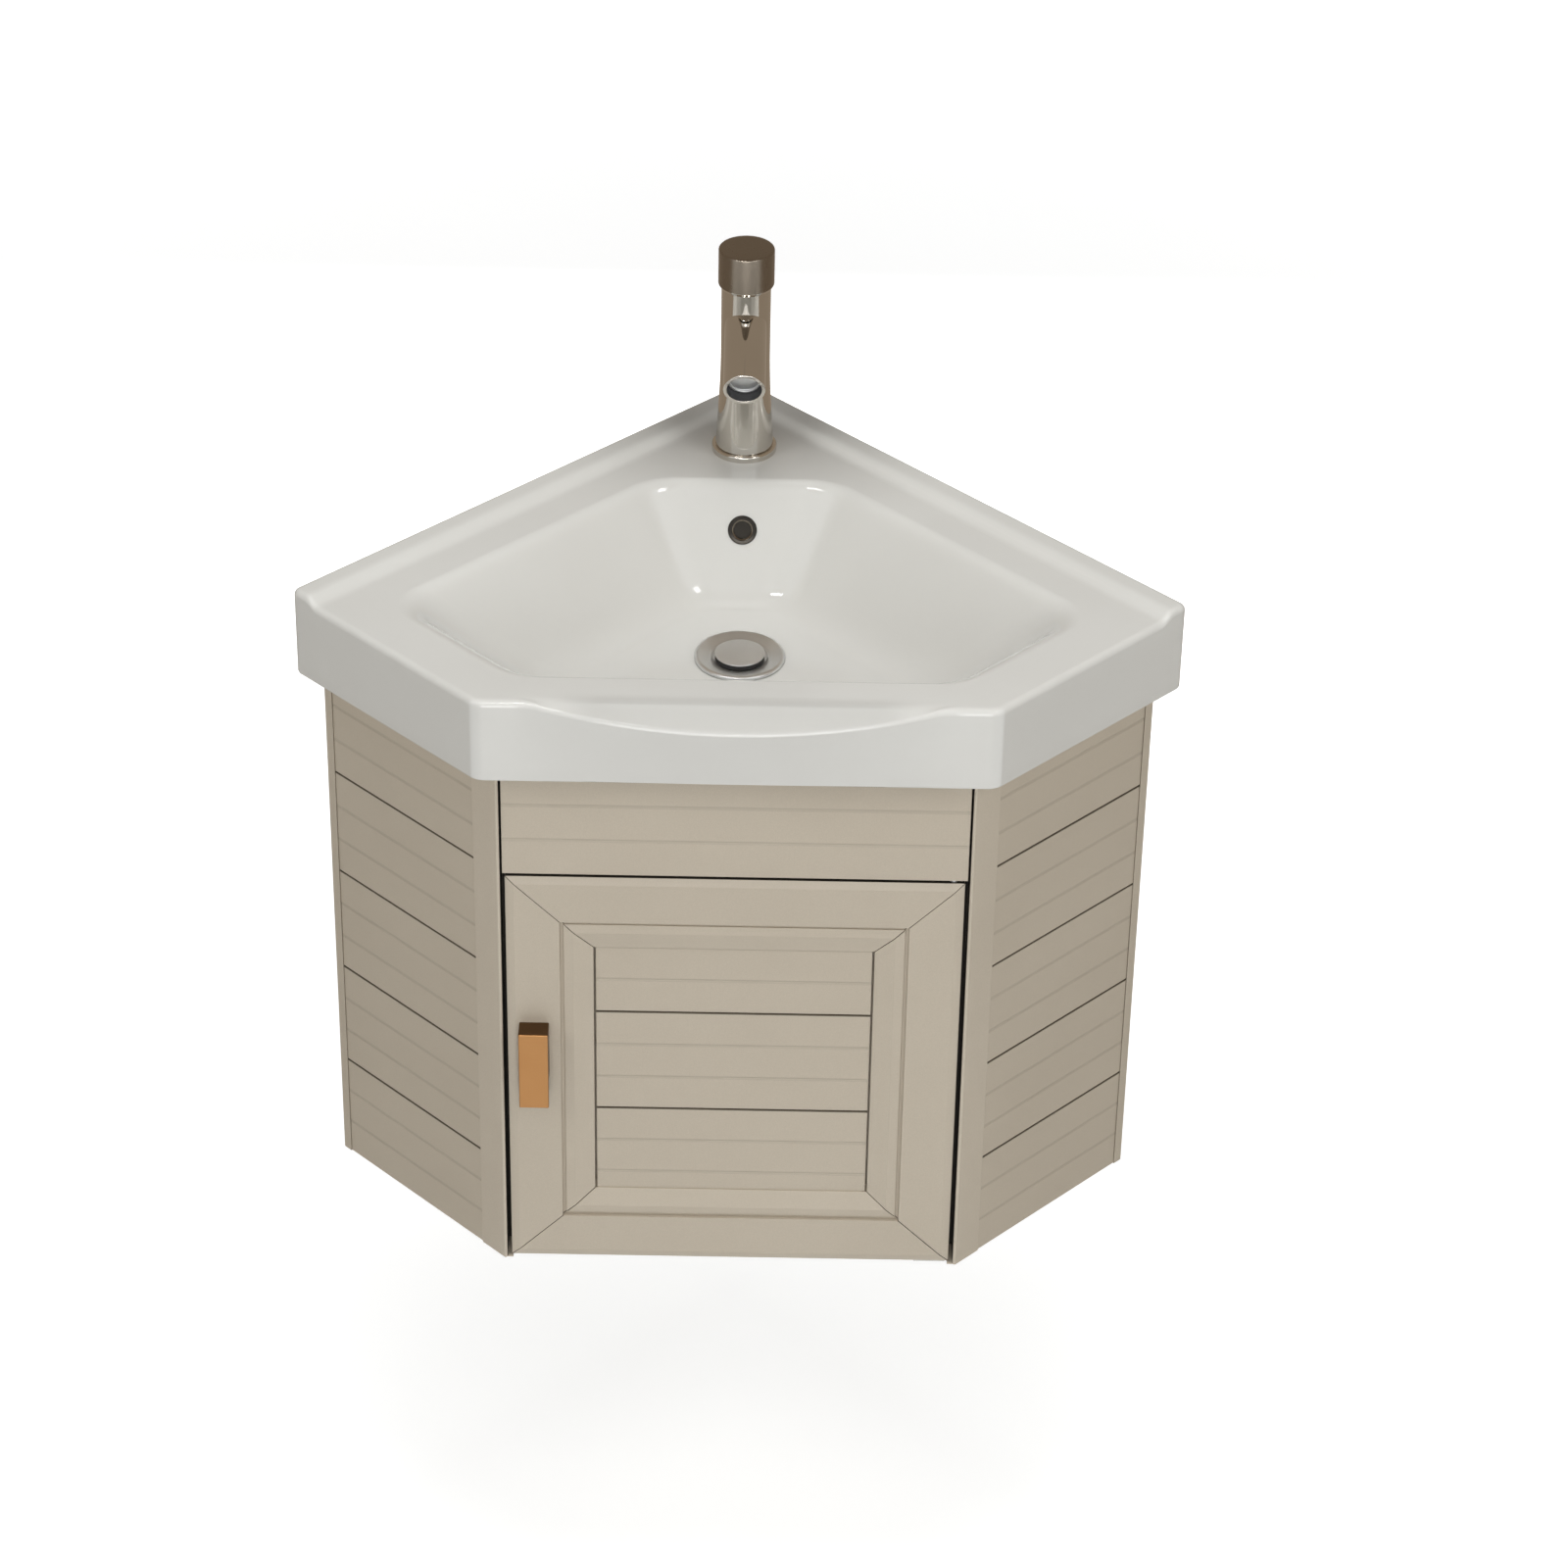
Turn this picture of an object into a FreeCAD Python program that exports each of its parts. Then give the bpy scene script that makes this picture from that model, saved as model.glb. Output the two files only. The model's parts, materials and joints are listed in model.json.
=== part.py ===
import FreeCAD, Part
import math
import os
from FreeCAD import Vector

# A wall-hung corner vanity unit, in millimetres.
# The origin lies on the line where the two walls meet, level with the cabinet's underside.
# +Z is up, the front faces -Y, and the left half mirrors the right half.

# Cabinet shell
cabinet_wall_side = 424.0  # along each wall, from the corner to the outer face of the side
cabinet_front = 433.0  # from the corner to the front edges of the posts
plank_count = 5
plank_height = 87.5
plank_thickness = 10.0
plank_wall = 1.4
plank_chamfer = 0.6
joint_reveal = 1.2  # the open line between two planks
joint_depth = 1.5
groove_width = 3.0
groove_depth = 0.35
groove_count = 2
tongue_height = 4.0
tongue_thickness = 3.0
tongue_clearance = 0.2
face_step = 1.0  # the planks lie this far behind the faces of posts and stiles
slot_depth = 5.0
slot_clearance = 0.2
end_gap = 0.5
post_face = 28.4
post_depth = 22.0
post_edge_radius = 1.5
stop_width = 16.6
foot_cap_thickness = 1.2
foot_cap_lap = 1.0  # the cap reaches this far under the door
stile_width = 8.0
stile_depth = 24.0
top_rail_height = 7.5
fascia_wall = 8.0
fascia_side_gap = 1.6

# Rails and bottom panel
angle_leg = 15.0
angle_wall = 1.5
panel_thickness = 8.0
panel_clearance = 0.5
panel_corner_cut = 130.0  # from the wall corner to the cut-off rear edge
cross_rail_height = 20.0
head_rail_drop = 10.0  # below the lower edge of the fascia
corner_post_leg = 25.0
corner_post_wall = 2.0
hanging_rail_height = 50.0
hanging_rail_flange = 18.0
hanging_rail_wall = 3.0
wall_screw_spacing = 200.0
wall_screw_radius = 3.5
wall_screw_drop = 28.0  # below the top of the hanging rail
rail_end_gap = 0.3

# Door
door_side_gap = 3.3
door_top_gap = 3.4
door_bottom = 2.0
door_setback = 2.8
door_thickness = 20.0
bumper_gap = 3.0
frame_width = 38.5
frame_bevel_width = 6.0
frame_bevel_depth = 1.8
frame_wall = 4.0
frame_skin = 2.2
rail_flange = 12.0
stile_flange = 34.0  # reaches past the side beads to carry the planks
mitre_gap = 0.5
bead_width = 24.0
bead_groove_width = 2.6
bead_groove_depth = 2.8  # behind the face of the door, as the next two are
bead_shoulder = 1.5
bead_crest_depth = 0.7
bead_crest = 9.5  # from the frame to the bead's highest line
bead_edge = 1.0  # the bead's inner edge, above the planks
plank_end_gap = 1.5
panel_recess = 5.0
door_plank_thickness = 8.0
door_plank_packing = 10.5  # below the lowest plank, behind the bead
block_clearance = 0.2

# Door furniture
pivot_inset = 8.0
pivot_setback = 6.0
pivot_radius = 3.0
running_clearance = 0.05
pivot_pin_length = 16.0
pivot_pin_reach = 10.0
pivot_plate_end = 5.5
pivot_plate_reach = 18.0
pivot_plate_thickness = 1.4
pivot_end_gap = 1.0
handle_width = 21.5
handle_height = 66.0
handle_base_height = 45.0
handle_reach = 16.0
handle_plate = 5.0
handle_bottom = 153.0
handle_edge = 0.8
handle_screw_radius = 2.0
handle_screw_head_radius = 4.0
handle_screw_head = 2.0
handle_screw_spacing = 25.0
handle_screw_grip = 8.0
catch_width = 12.0
catch_height = 40.0
catch_drop = 30.0  # from the foot of the handle to the top of the catch
catch_gap = 0.3
strike_thickness = 1.0

# Basin
basin_wall_side = 450.0
basin_front = 456.0
apron_height = 65.0
lip_height = 5.0
lip_width = 22.0
lip_fillet = 4.0
apron_front_radius = 14.0
apron_side_radius = 6.0
apron_back_radius = 3.0
rim_edge_radius = 4.0
bowl_edge_radius = 6.0
bowl_depth = 80.0
bowl_wall = 9.0
wall_margin = 58.0  # from the walls to the bowl's opening
side_margin = 46.0
front_margin = 37.0
tap_ledge = 147.0  # from the wall corner to the bowl's back edge
floor_wall_margin = 112.0
floor_side_margin = 121.0
floor_front_margin = 77.0
floor_back = 190.0
bowl_back_radius = 45.0
bowl_tip_radius = 30.0
bowl_front_radius = 50.0
floor_corner_radius = 28.0
floor_fillet = 18.0
deck_thickness = 12.0
rim_wall_width = 20.0
rim_side_width = 42.0
pocket_radius = 10.0
scoop_half_width = 150.0
scoop_bulge = 20.0
scoop_foot = 0.8
scoop_slope = 0.75
scoop_root = 12.0

# Overflow
overflow_drop = 32.0
overflow_radius = 7.5
overflow_ring_radius = 10.8
overflow_ring_thickness = 2.0
overflow_seat = 1.0
duct_radius = 5.0
duct_wall = 4.0
duct_back = 22.0  # from the overflow's mouth to the duct

# Tap
tap_back = 97.0  # from the wall corner to the tap's axis
tap_hole_radius = 17.5
spigot_radius = 16.5
base_ring_radius = 24.3
base_ring_height = 5.0
base_ring_edge = 1.5
tap_foot_radius = 21.6
tap_body_radius = 18.2
tap_flare_height = 58.0
tap_height = 137.5
spout_radius = 15.5
spout_reach = 73.0
spout_angle = 20.0  # degrees below level
spout_drop = 26.0  # from the top of the body to the spout's axis
outlet_radius = 12.5
outlet_depth = 13.0
outlet_recess = 8.0
outlet_dish = 1.2
outlet_rim = 1.8
waterway_radius = 5.0
cartridge_radius = 12.5
cartridge_length = 34.0
cartridge_fit = 0.1
cartridge_nut_radius = 15.5
cartridge_nut_bore = 11.5
cartridge_nut_height = 17.0
carrier_radius = 11.2
carrier_height = 18.0
lever_pivot_drop = 8.0  # below the top of the tap's body
lever_size = 8.0
lever_slack = 0.2
lever_tail = 4.0
lever_length = 30.0
lever_slot_front = 6.4
lever_slot_back = 8.4
lever_slot_depth = 6.2
axle_radius = 2.0
axle_length = 19.0
handle_cap_radius = 20.6
handle_cap_wall = 1.7
handle_cap_top = 3.5
handle_cap_height = 30.5
handle_cap_overlap = 1.0
handle_cap_chamfer = 1.2
handle_boss_radius = 8.5
handle_boss_height = 18.0
inlet_radius = 5.0
inlet_depth = 14.0
inlet_offset = 8.5
inlet_forward = 5.0
stud_radius = 4.0
stud_back = 10.5
stud_length = 64.0
thread_clearance = 0.05
clamp_plate_radius = 26.0
clamp_plate_thickness = 3.0
clamp_slot_radius = 15.5
clamp_slot_forward = 11.0
clamp_nut_radius = 7.5
clamp_nut_height = 8.0

# Waste and trap
waste_forward = 264.0  # from the wall corner to the waste's axis
waste_hole_radius = 23.0
waste_boss_radius = 38.0
waste_boss_height = 18.0
waste_flange_radius = 33.2
waste_flange_height = 3.2
waste_flange_rim = 1.2
waste_seat_radius = 19.6
waste_seat_depth = 4.2
waste_bore_radius = 16.5
waste_tube_radius = 21.0
waste_tube_length = 75.0
waste_slot_width = 8.0
waste_slot_height = 14.0
spider_height = 6.0
spider_drop = 40.0
spider_arm = 4.0
guide_radius = 7.0
stem_radius = 4.0
stem_length = 52.0
stem_clearance = 0.3
plug_radius = 18.3
plug_thickness = 4.6
plug_dome = 0.9
plug_seal_gap = 0.4
waste_washer_radius = 34.0
waste_washer_thickness = 4.0
waste_nut_radius = 36.0
waste_nut_height = 10.0
tail_radius = 16.0
tail_wall = 1.5
tail_collar = 15.0
tail_length = 185.0
trap_radius = 30.0
trap_wall = 2.5
trap_body_height = 72.0
trap_body_drop = 140.0  # from the bowl's floor to the top of the trap
trap_cup_height = 62.0
trap_neck_radius = 21.0
trap_neck_height = 12.0
trap_nut_radius = 25.0
trap_nut_height = 14.0
outlet_pipe_drop = 26.0  # from the trap's top to the outlet's axis
outlet_spigot_radius = 15.5
outlet_spigot_length = 24.0
outlet_pipe_length = 92.0
outlet_neck = 10.0

# Cuts run past the surfaces they open by this much
overrun = 5.0

root2 = math.sqrt(2)
up = Vector(0, 0, 1)
front = Vector(0, -1, 0)
back = Vector(0, 1, 0)
right = Vector(1, 0, 0)
along_wall = Vector(1, -1, 0) / root2  # along the right wall, away from the corner
off_wall = Vector(-1, -1, 0) / root2  # square to the right wall, into the room

cabinet_height = plank_count * plank_height + top_rail_height
side_length = root2 * cabinet_front - cabinet_wall_side
post_x = root2 * cabinet_wall_side - cabinet_front
rebate_depth = door_setback + door_thickness + bumper_gap
stop_y = rebate_depth - cabinet_front
post_rear_y = -cabinet_front + (post_face + post_depth) / root2
door_half = post_x - door_side_gap
door_front_y = door_setback - cabinet_front
door_top = (plank_count - 1) * plank_height - door_top_gap
deck_z = cabinet_height + apron_height
floor_z = deck_z - bowl_depth
deck_underside = deck_z - deck_thickness


def solid_between(points, run):
    """A straight bar: the closed outline through points, drawn along run."""
    return Part.Face(Part.makePolygon(points + points[:1])).extrude(run)


def block(low, high):
    """A box from its lowest to its highest corner."""
    size = high - low
    return Part.makeBox(size.x, size.y, size.z, low)


def wall_block(w0, w1, s0, s1, z0, z1):
    """A box on the right wall: w runs along the wall from the corner, s runs out from it."""
    corners = [at_wall(w0, s0, z0), at_wall(w1, s0, z0), at_wall(w1, s1, z0), at_wall(w0, s1, z0)]
    return solid_between(corners, up * (z1 - z0))


def at_wall(w, s, z=0):
    """A point w along the right wall and s out from it."""
    return along_wall * w + off_wall * s + up * z


def to_left(shape):
    """The left-hand twin of a right-hand piece."""
    return shape.mirror(Vector(0, 0, 0), right)


def pair(shape):
    """A piece and its left-hand twin, as separate solids."""
    return Part.makeCompound([shape, to_left(shape)])


def turned(profile, centre):
    """A solid of revolution: (radius, height) points turned about an upright axis through centre."""
    points = [centre + right * radius + up * height for radius, height in profile]
    return Part.Face(Part.makePolygon(points + points[:1])).revolve(centre, up, 360)


def rod(radius, length, start, axis):
    """A round bar from start along axis."""
    return Part.makeCylinder(radius, length, start, axis)


def tube(outer, inner, length, start, axis):
    """A round pipe from start along axis."""
    return rod(outer, length, start, axis).cut(rod(inner, length, start, axis))


def rounded_outline(corners, radii, z):
    """A closed outline through corners at height z, each corner rounded to its radius."""
    edges = []
    count = len(corners)
    arcs = []
    for i, (corner, radius) in enumerate(zip(corners, radii)):
        towards = [(corners[i - 1] - corner).normalize(), (corners[(i + 1) % count] - corner).normalize()]
        half_angle = towards[0].getAngle(towards[1]) / 2
        inward = (towards[0] + towards[1]).normalize()
        centre = corner + inward * (radius / math.sin(half_angle))
        ends = [corner + way * (radius / math.tan(half_angle)) for way in towards]
        arcs.append((ends[0], centre - inward * radius, ends[1]))
    for i, (start, middle, end) in enumerate(arcs):
        edges.append(Part.Arc(start, middle, end).toShape())
        edges.append(Part.makeLine(end, arcs[(i + 1) % count][0]))
    wire = Part.Wire(edges)
    wire.translate(up * z)
    return wire


def prism(wire, z_top):
    """The outline filled and raised to z_top."""
    return Part.Face(wire).extrude(up * (z_top - wire.BoundBox.ZMin))


def cut_square(wall_rim, side_rim, front_rim):
    """The basin's plan, drawn in by a rim on each kind of side: a square with its front corner cut off."""
    side = basin_wall_side - side_rim
    cut = root2 * (basin_front - front_rim) - side
    right_half = [at_wall(side, wall_rim), at_wall(side, cut)]
    left_half = [Vector(-p.x, p.y, 0) for p in reversed(right_half)]
    return [at_wall(wall_rim, wall_rim)] + right_half + left_half


def bowl_corners(wall_rim, side_rim, front_rim, back_edge):
    """The bowl's plan at one height: the cut square with its back corner cut off too."""
    plan = cut_square(wall_rim, side_rim, front_rim)
    back_right = at_wall(root2 * back_edge - wall_rim, wall_rim)
    back_left = Vector(-back_right.x, back_right.y, 0)
    return [back_right] + plan[1:] + [back_left]


def bowl_radii(back_radius, tip_radius, front_radius):
    return [back_radius, tip_radius, front_radius, front_radius, tip_radius, back_radius]


def edges_at(shape, z, test):
    """The level edges of a shape at height z whose middle passes the test."""
    tolerance = overrun / 1000
    level = [e for e in shape.Edges if max(abs(e.BoundBox.ZMin - z), abs(e.BoundBox.ZMax - z)) < tolerance]
    return [e for e in level if test(e.valueAt((e.FirstParameter + e.LastParameter) / 2))]


def wall_distance(point):
    """How far a point stands off the nearer wall."""
    return (abs(point.y) - abs(point.x)) / root2


def grooved_profile(height, thickness, tongued, reveal):
    """A plank's section as (depth, height) points: a face with shallow grooves, a tongue and its groove.

    The foot of the face stands clear of the plank below by the reveal.
    """
    pitch = height / (groove_count + 1)
    face = [(0, reveal)]
    for i in range(1, groove_count + 1):
        middle = i * pitch
        face += [(0, middle - groove_width / 2), (groove_depth, middle), (0, middle + groove_width / 2)]
    face += [(0, height - plank_chamfer), (plank_chamfer, height)]
    near = (thickness - tongue_thickness) / 2
    far = near + tongue_thickness
    tongue = [(near, height), (near, height + tongue_height), (far, height + tongue_height), (far, height)]
    rear = [(thickness, height), (thickness, 0)]
    slot_top = tongue_height + tongue_clearance
    slot = [(far + tongue_clearance, 0), (far + tongue_clearance, slot_top)]
    slot += [(near - tongue_clearance, slot_top), (near - tongue_clearance, 0)]
    foot = [(joint_depth, 0), (joint_depth, reveal)] if reveal else []
    return face + tongue + rear + slot + foot if tongued else face + rear + foot


def plank(height, thickness, start, inward, run, tongued, reveal, low_wall):
    """A hollow plank from start along run, its thickness going inward."""
    section = grooved_profile(height, thickness, tongued, reveal)
    points = [start + inward * depth + up * z for depth, z in section]
    far = thickness - plank_wall
    high = height - plank_wall
    hollow = [(plank_wall, low_wall), (plank_wall, high), (far, high), (far, low_wall)]
    hollow_points = [start + inward * depth + up * z for depth, z in hollow]
    return solid_between(points, run).cut(solid_between(hollow_points, run))


def side_planks():
    """The right side's planks from the bottom up, their ends in the slots of stile and post."""
    first = stile_width - slot_depth + end_gap
    last = side_length - post_face + slot_depth - end_gap
    low_wall = tongue_height + tongue_clearance + plank_wall
    face = cabinet_wall_side - face_step
    planks = []
    for i in range(plank_count):
        start = at_wall(face, first, i * plank_height)
        reveal = joint_reveal if i else 0
        planks.append(plank(plank_height, plank_thickness, start, -along_wall,
                            off_wall * (last - first), True, reveal, low_wall))
    return planks


def plank_slot(s0, s1):
    """The slot that takes the ends of the right side's planks, between two distances from the wall."""
    face = cabinet_wall_side - face_step
    return wall_block(face - plank_thickness - slot_clearance, face + slot_clearance, s0, s1,
                      -overrun, cabinet_height + overrun)


def rear_stile():
    stile = wall_block(cabinet_wall_side - stile_depth, cabinet_wall_side, 0, stile_width, 0, cabinet_height)
    return stile.cut(plank_slot(stile_width - slot_depth, stile_width + overrun))


def front_post():
    """The right front post: a face in the plane of the side, a rebate for the door and a stop behind it.

    A cap at its foot closes the rebate from below.
    """
    edge = Vector(post_x, -cabinet_front, 0)
    face_end = edge - off_wall * post_face
    inner = face_end - along_wall * post_depth
    stop_x = post_x - stop_width
    section = [edge, face_end, inner, Vector(stop_x, inner.y, 0), Vector(stop_x, stop_y, 0),
               Vector(post_x, stop_y, 0)]
    post = solid_between(section, up * cabinet_height)
    nearest = min(post.Edges, key=lambda e: (e.CenterOfMass - edge - up * cabinet_height / 2).Length)
    post = post.makeFillet(post_edge_radius, [nearest])
    slot_start = side_length - post_face
    post = post.cut(plank_slot(slot_start - overrun, slot_start + slot_depth))
    cap = block(Vector(door_half - foot_cap_lap, door_front_y, 0), Vector(post_x, stop_y, foot_cap_thickness))
    return Part.makeCompound([post, cap])


def pivot_point(z):
    """A point on the door's pivot axis."""
    return Vector(door_half - pivot_inset, door_front_y + pivot_setback, z)


def fascia():
    """The plank over the door, with the bore for the upper pivot pin in its lower wall."""
    half = post_x - fascia_side_gap
    bottom = (plank_count - 1) * plank_height
    start = Vector(-half, door_front_y, bottom)
    thickness = door_thickness + bumper_gap
    body = plank(plank_height, thickness, start, back, right * (2 * half), False, 0, fascia_wall)
    bore = rod(pivot_radius + running_clearance, fascia_wall + 2 * overrun, pivot_point(bottom - overrun), up)
    return body.cut(bore)


def top_rails():
    """The three rails that cap the planks and carry the basin."""
    half = post_x - fascia_side_gap
    z0 = cabinet_height - top_rail_height
    front_rail = block(Vector(-half, door_front_y, z0), Vector(half, stop_y, cabinet_height))
    face = cabinet_wall_side - face_step
    first = stile_width - slot_depth + end_gap
    last = side_length - post_face + slot_depth - end_gap
    side_rail = wall_block(face - plank_thickness, face, first, last, z0, cabinet_height)
    middle = face - plank_thickness / 2
    reach = tongue_thickness / 2 + tongue_clearance
    groove = wall_block(middle - reach, middle + reach, first - overrun, last + overrun,
                        z0 - overrun, z0 + tongue_height + tongue_clearance)
    side_rail = side_rail.cut(groove)
    return Part.makeCompound([front_rail, side_rail, to_left(side_rail)])


def cross_rails():
    """The sill and head rails that tie the posts' stops together behind the door."""
    half = post_x - stop_width
    rails = []
    for z in (pivot_plate_thickness, (plank_count - 1) * plank_height - head_rail_drop):
        rails.append(block(Vector(-half, stop_y, z), Vector(half, post_rear_y, z + cross_rail_height)))
    return Part.makeCompound(rails)


def angle_bar(w0, w1, s0, s1, on_side):
    """A right-hand angle under the bottom panel, its upright leg on the side planks or on the wall."""
    z0 = pivot_plate_thickness
    if on_side:
        leg = wall_block(w1 - angle_wall, w1, s0, s1, z0, z0 + angle_leg)
    else:
        leg = wall_block(w0, w1, s0, s0 + angle_wall, z0, z0 + angle_leg)
    return leg.fuse(wall_block(w0, w1, s0, s1, z0, z0 + angle_wall)).removeSplitter()


def bottom_rails():
    inner = cabinet_wall_side - face_step - plank_thickness
    last = side_length - post_face - rail_end_gap
    on_side = angle_bar(inner - angle_leg, inner, angle_leg + rail_end_gap, last, True)
    end = cabinet_wall_side - stile_depth - rail_end_gap
    on_wall = angle_bar(corner_post_leg + rail_end_gap, end, 0, angle_leg, False)
    return Part.makeCompound([on_side, to_left(on_side), on_wall, to_left(on_wall)])


def bottom_panel():
    """The floor of the cabinet, on the bottom rails, with its rear corner cut off for the pipes."""
    inner = cabinet_wall_side - face_step - plank_thickness - angle_wall - panel_clearance
    rear = angle_wall + panel_clearance
    front_y = post_rear_y + panel_clearance
    stile_edge = cabinet_wall_side - stile_depth - panel_clearance
    stile_face = stile_width + panel_clearance
    right_half = [at_wall(root2 * panel_corner_cut - rear, rear), at_wall(stile_edge, rear),
                  at_wall(stile_edge, stile_face), at_wall(inner, stile_face),
                  at_wall(inner, -root2 * front_y - inner)]
    left_half = [Vector(-p.x, p.y, 0) for p in reversed(right_half)]
    z0 = pivot_plate_thickness + angle_wall
    return solid_between([p + up * z0 for p in right_half + left_half], up * panel_thickness)


def rear_corner_post():
    leg = wall_block(0, corner_post_leg, 0, corner_post_wall, 0, cabinet_height)
    return leg.fuse(to_left(leg)).removeSplitter()


def hanging_rails():
    """The two rails that hang the cabinet on the walls, with a pair of screw holes in each."""
    first = corner_post_leg + rail_end_gap
    last = cabinet_wall_side - stile_depth - rail_end_gap
    top = cabinet_height
    leg = wall_block(first, last, 0, hanging_rail_wall, top - hanging_rail_height, top)
    flange = wall_block(first, last, 0, hanging_rail_flange, top - hanging_rail_wall, top)
    rail = leg.fuse(flange).removeSplitter()
    middle = (first + last) / 2
    for side in (-1, 1):
        at = at_wall(middle + side * wall_screw_spacing / 2, -overrun, cabinet_height - wall_screw_drop)
        rail = rail.cut(rod(wall_screw_radius, hanging_rail_wall + 2 * overrun, at, off_wall))
    return pair(rail)


def mitred_ring(profile, gap):
    """Top, right, bottom and left strips round the door, mitred at the corners with a gap between them.

    A profile point is (distance in from the door's edge, depth behind its face).
    """
    corners = [Vector(-door_half, door_front_y, door_top), Vector(door_half, door_front_y, door_top),
               Vector(door_half, door_front_y, door_bottom), Vector(-door_half, door_front_y, door_bottom)]
    diagonals = [Vector(1, 0, -1), Vector(-1, 0, -1), Vector(-1, 0, 1), Vector(1, 0, 1)]
    reach = max(a for a, depth in profile) + overrun
    strips = []
    for i in range(4):
        start, end = corners[i], corners[(i + 1) % 4]
        inward = (diagonals[i] + diagonals[(i + 1) % 4]) / 2
        bar = solid_between([start + inward * a + back * depth for a, depth in profile], end - start)
        short = (end - start).normalize() * (gap / root2)
        cell = [start + short, end - short, end - short + diagonals[(i + 1) % 4] * reach,
                start + short + diagonals[i] * reach]
        mitre = solid_between([p + front * overrun for p in cell], back * (door_thickness + 2 * overrun))
        strips.append(bar.common(mitre))
    return strips


def frame_profiles(flange):
    """The frame's top, right, bottom and left profiles, hollow, with a flange behind the planks."""
    ledge = panel_recess + door_plank_thickness
    inner = frame_width + flange
    outside = [(0, door_thickness), (0, frame_bevel_depth), (frame_bevel_width, 0), (frame_width, 0),
               (frame_width, ledge), (inner, ledge), (inner, door_thickness)]
    inside = [(frame_wall, door_thickness - frame_skin), (frame_wall, frame_skin),
              (frame_width - frame_skin, frame_skin), (frame_width - frame_skin, door_thickness - frame_skin)]
    hollows = mitred_ring(inside, 0)
    return [solid.cut(hollow) for solid, hollow in zip(mitred_ring(outside, mitre_gap), hollows)]


def bead_strips(seat):
    """The mitred beads inside the frame, down to the depth of their seat.

    Beside the frame runs a groove, then the bead rises to a crest and slopes down to the planks.
    """
    outline = [(0, seat), (0, bead_groove_depth), (bead_groove_width, bead_groove_depth),
               (bead_groove_width, bead_shoulder), (bead_crest, bead_crest_depth),
               (bead_width, panel_recess - bead_edge), (bead_width, seat)]
    return mitred_ring([(frame_width + a, depth) for a, depth in outline], mitre_gap)


def door_beads():
    """The upper and lower beads lie on the planks; the side beads stand on the frame's flange beside them."""
    on_planks = bead_strips(panel_recess)
    on_flange = bead_strips(panel_recess + door_plank_thickness)
    return Part.makeCompound([on_planks[0], on_flange[1], on_planks[2], on_flange[3]])


def door_planks():
    """The planks in the door from the bottom up; the last is cut to the height that is left."""
    half = door_half - frame_width - bead_width - plank_end_gap
    bottom = door_bottom + frame_width + door_plank_packing
    top = door_top - frame_width - panel_clearance
    planks = []
    for i in range(3):
        z = bottom + i * plank_height
        start = Vector(-half, door_front_y + panel_recess, z)
        board = plank(plank_height, door_plank_thickness, start, back, right * (2 * half), True,
                      joint_reveal, tongue_height + tongue_clearance + plank_wall)
        trim = block(Vector(-half - overrun, -cabinet_front, top),
                     Vector(half + overrun, 0, door_top + plank_height))
        planks.append(board.cut(trim))
    return planks


def lower_pivot_bore():
    """The running bore that the lower pivot pin stands in."""
    return rod(pivot_radius + running_clearance, pivot_pin_length + pivot_end_gap, pivot_point(0), up)


def corner_blocks():
    """The four blocks that join the frame's mitres; the pivots run in the two on the right."""
    low = frame_wall + block_clearance
    high = frame_width - frame_skin - block_clearance
    near = frame_skin + block_clearance
    far = door_thickness - frame_skin - block_clearance
    lower = block(Vector(door_half - high, door_front_y + near, door_bottom + low),
                  Vector(door_half - low, door_front_y + far, door_bottom + high))
    upper = lower.copy()
    upper.translate(up * (door_top - door_bottom - high - low))
    left_pair = [to_left(lower), to_left(upper)]
    lower = lower.cut(lower_pivot_bore())
    upper = upper.cut(rod(pivot_radius, pivot_pin_length, pivot_point(door_top - pivot_pin_length), up))
    return Part.makeCompound([lower, upper] + left_pair)


def pivot_plate():
    """The plate under the door's corner, fixed below the sill, with the pin that the door turns on."""
    axis = pivot_point(0)
    near = axis - right * pivot_plate_reach + front * pivot_radius
    arm = block(near, axis + Vector(pivot_plate_end, pivot_plate_end, pivot_plate_thickness))
    tail = block(near, Vector(post_x - stop_width - rail_end_gap, post_rear_y, pivot_plate_thickness))
    pin = rod(pivot_radius, pivot_pin_length, axis, up)
    return arm.multiFuse([tail, pin]).removeSplitter()


def pivot_pin():
    """The upper pin, held in the door's corner block and turning in the fascia."""
    return rod(pivot_radius, pivot_pin_length + pivot_pin_reach, pivot_point(door_top - pivot_pin_length), up)


def handle_centre():
    return Vector(-door_half + frame_width / 2, door_front_y, handle_bottom + handle_height)


def door_handle():
    """A finger pull: a block on the door with a plate that hangs below it."""
    top = handle_centre()
    plate_back = handle_reach - handle_plate
    profile = [(0, 0), (handle_reach, 0), (handle_reach, -handle_height), (plate_back, -handle_height),
               (plate_back, -handle_base_height), (0, -handle_base_height)]
    start = top - right * (handle_width / 2)
    pull = solid_between([start + front * reach + up * z for reach, z in profile], right * handle_width)
    outer = [e for e in pull.Edges if e.BoundBox.YMax < top.y - handle_reach + handle_edge]
    pull = pull.makeFillet(handle_edge, outer)
    for screw in screw_points():
        pull = pull.cut(rod(handle_screw_radius + thread_clearance, handle_screw_grip, screw, front))
    return pull


def screw_points():
    """Where the handle's screws cross the door's face."""
    middle = handle_centre() - up * (handle_base_height / 2)
    return [middle + up * (side * handle_screw_spacing / 2) for side in (-1, 1)]


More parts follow.
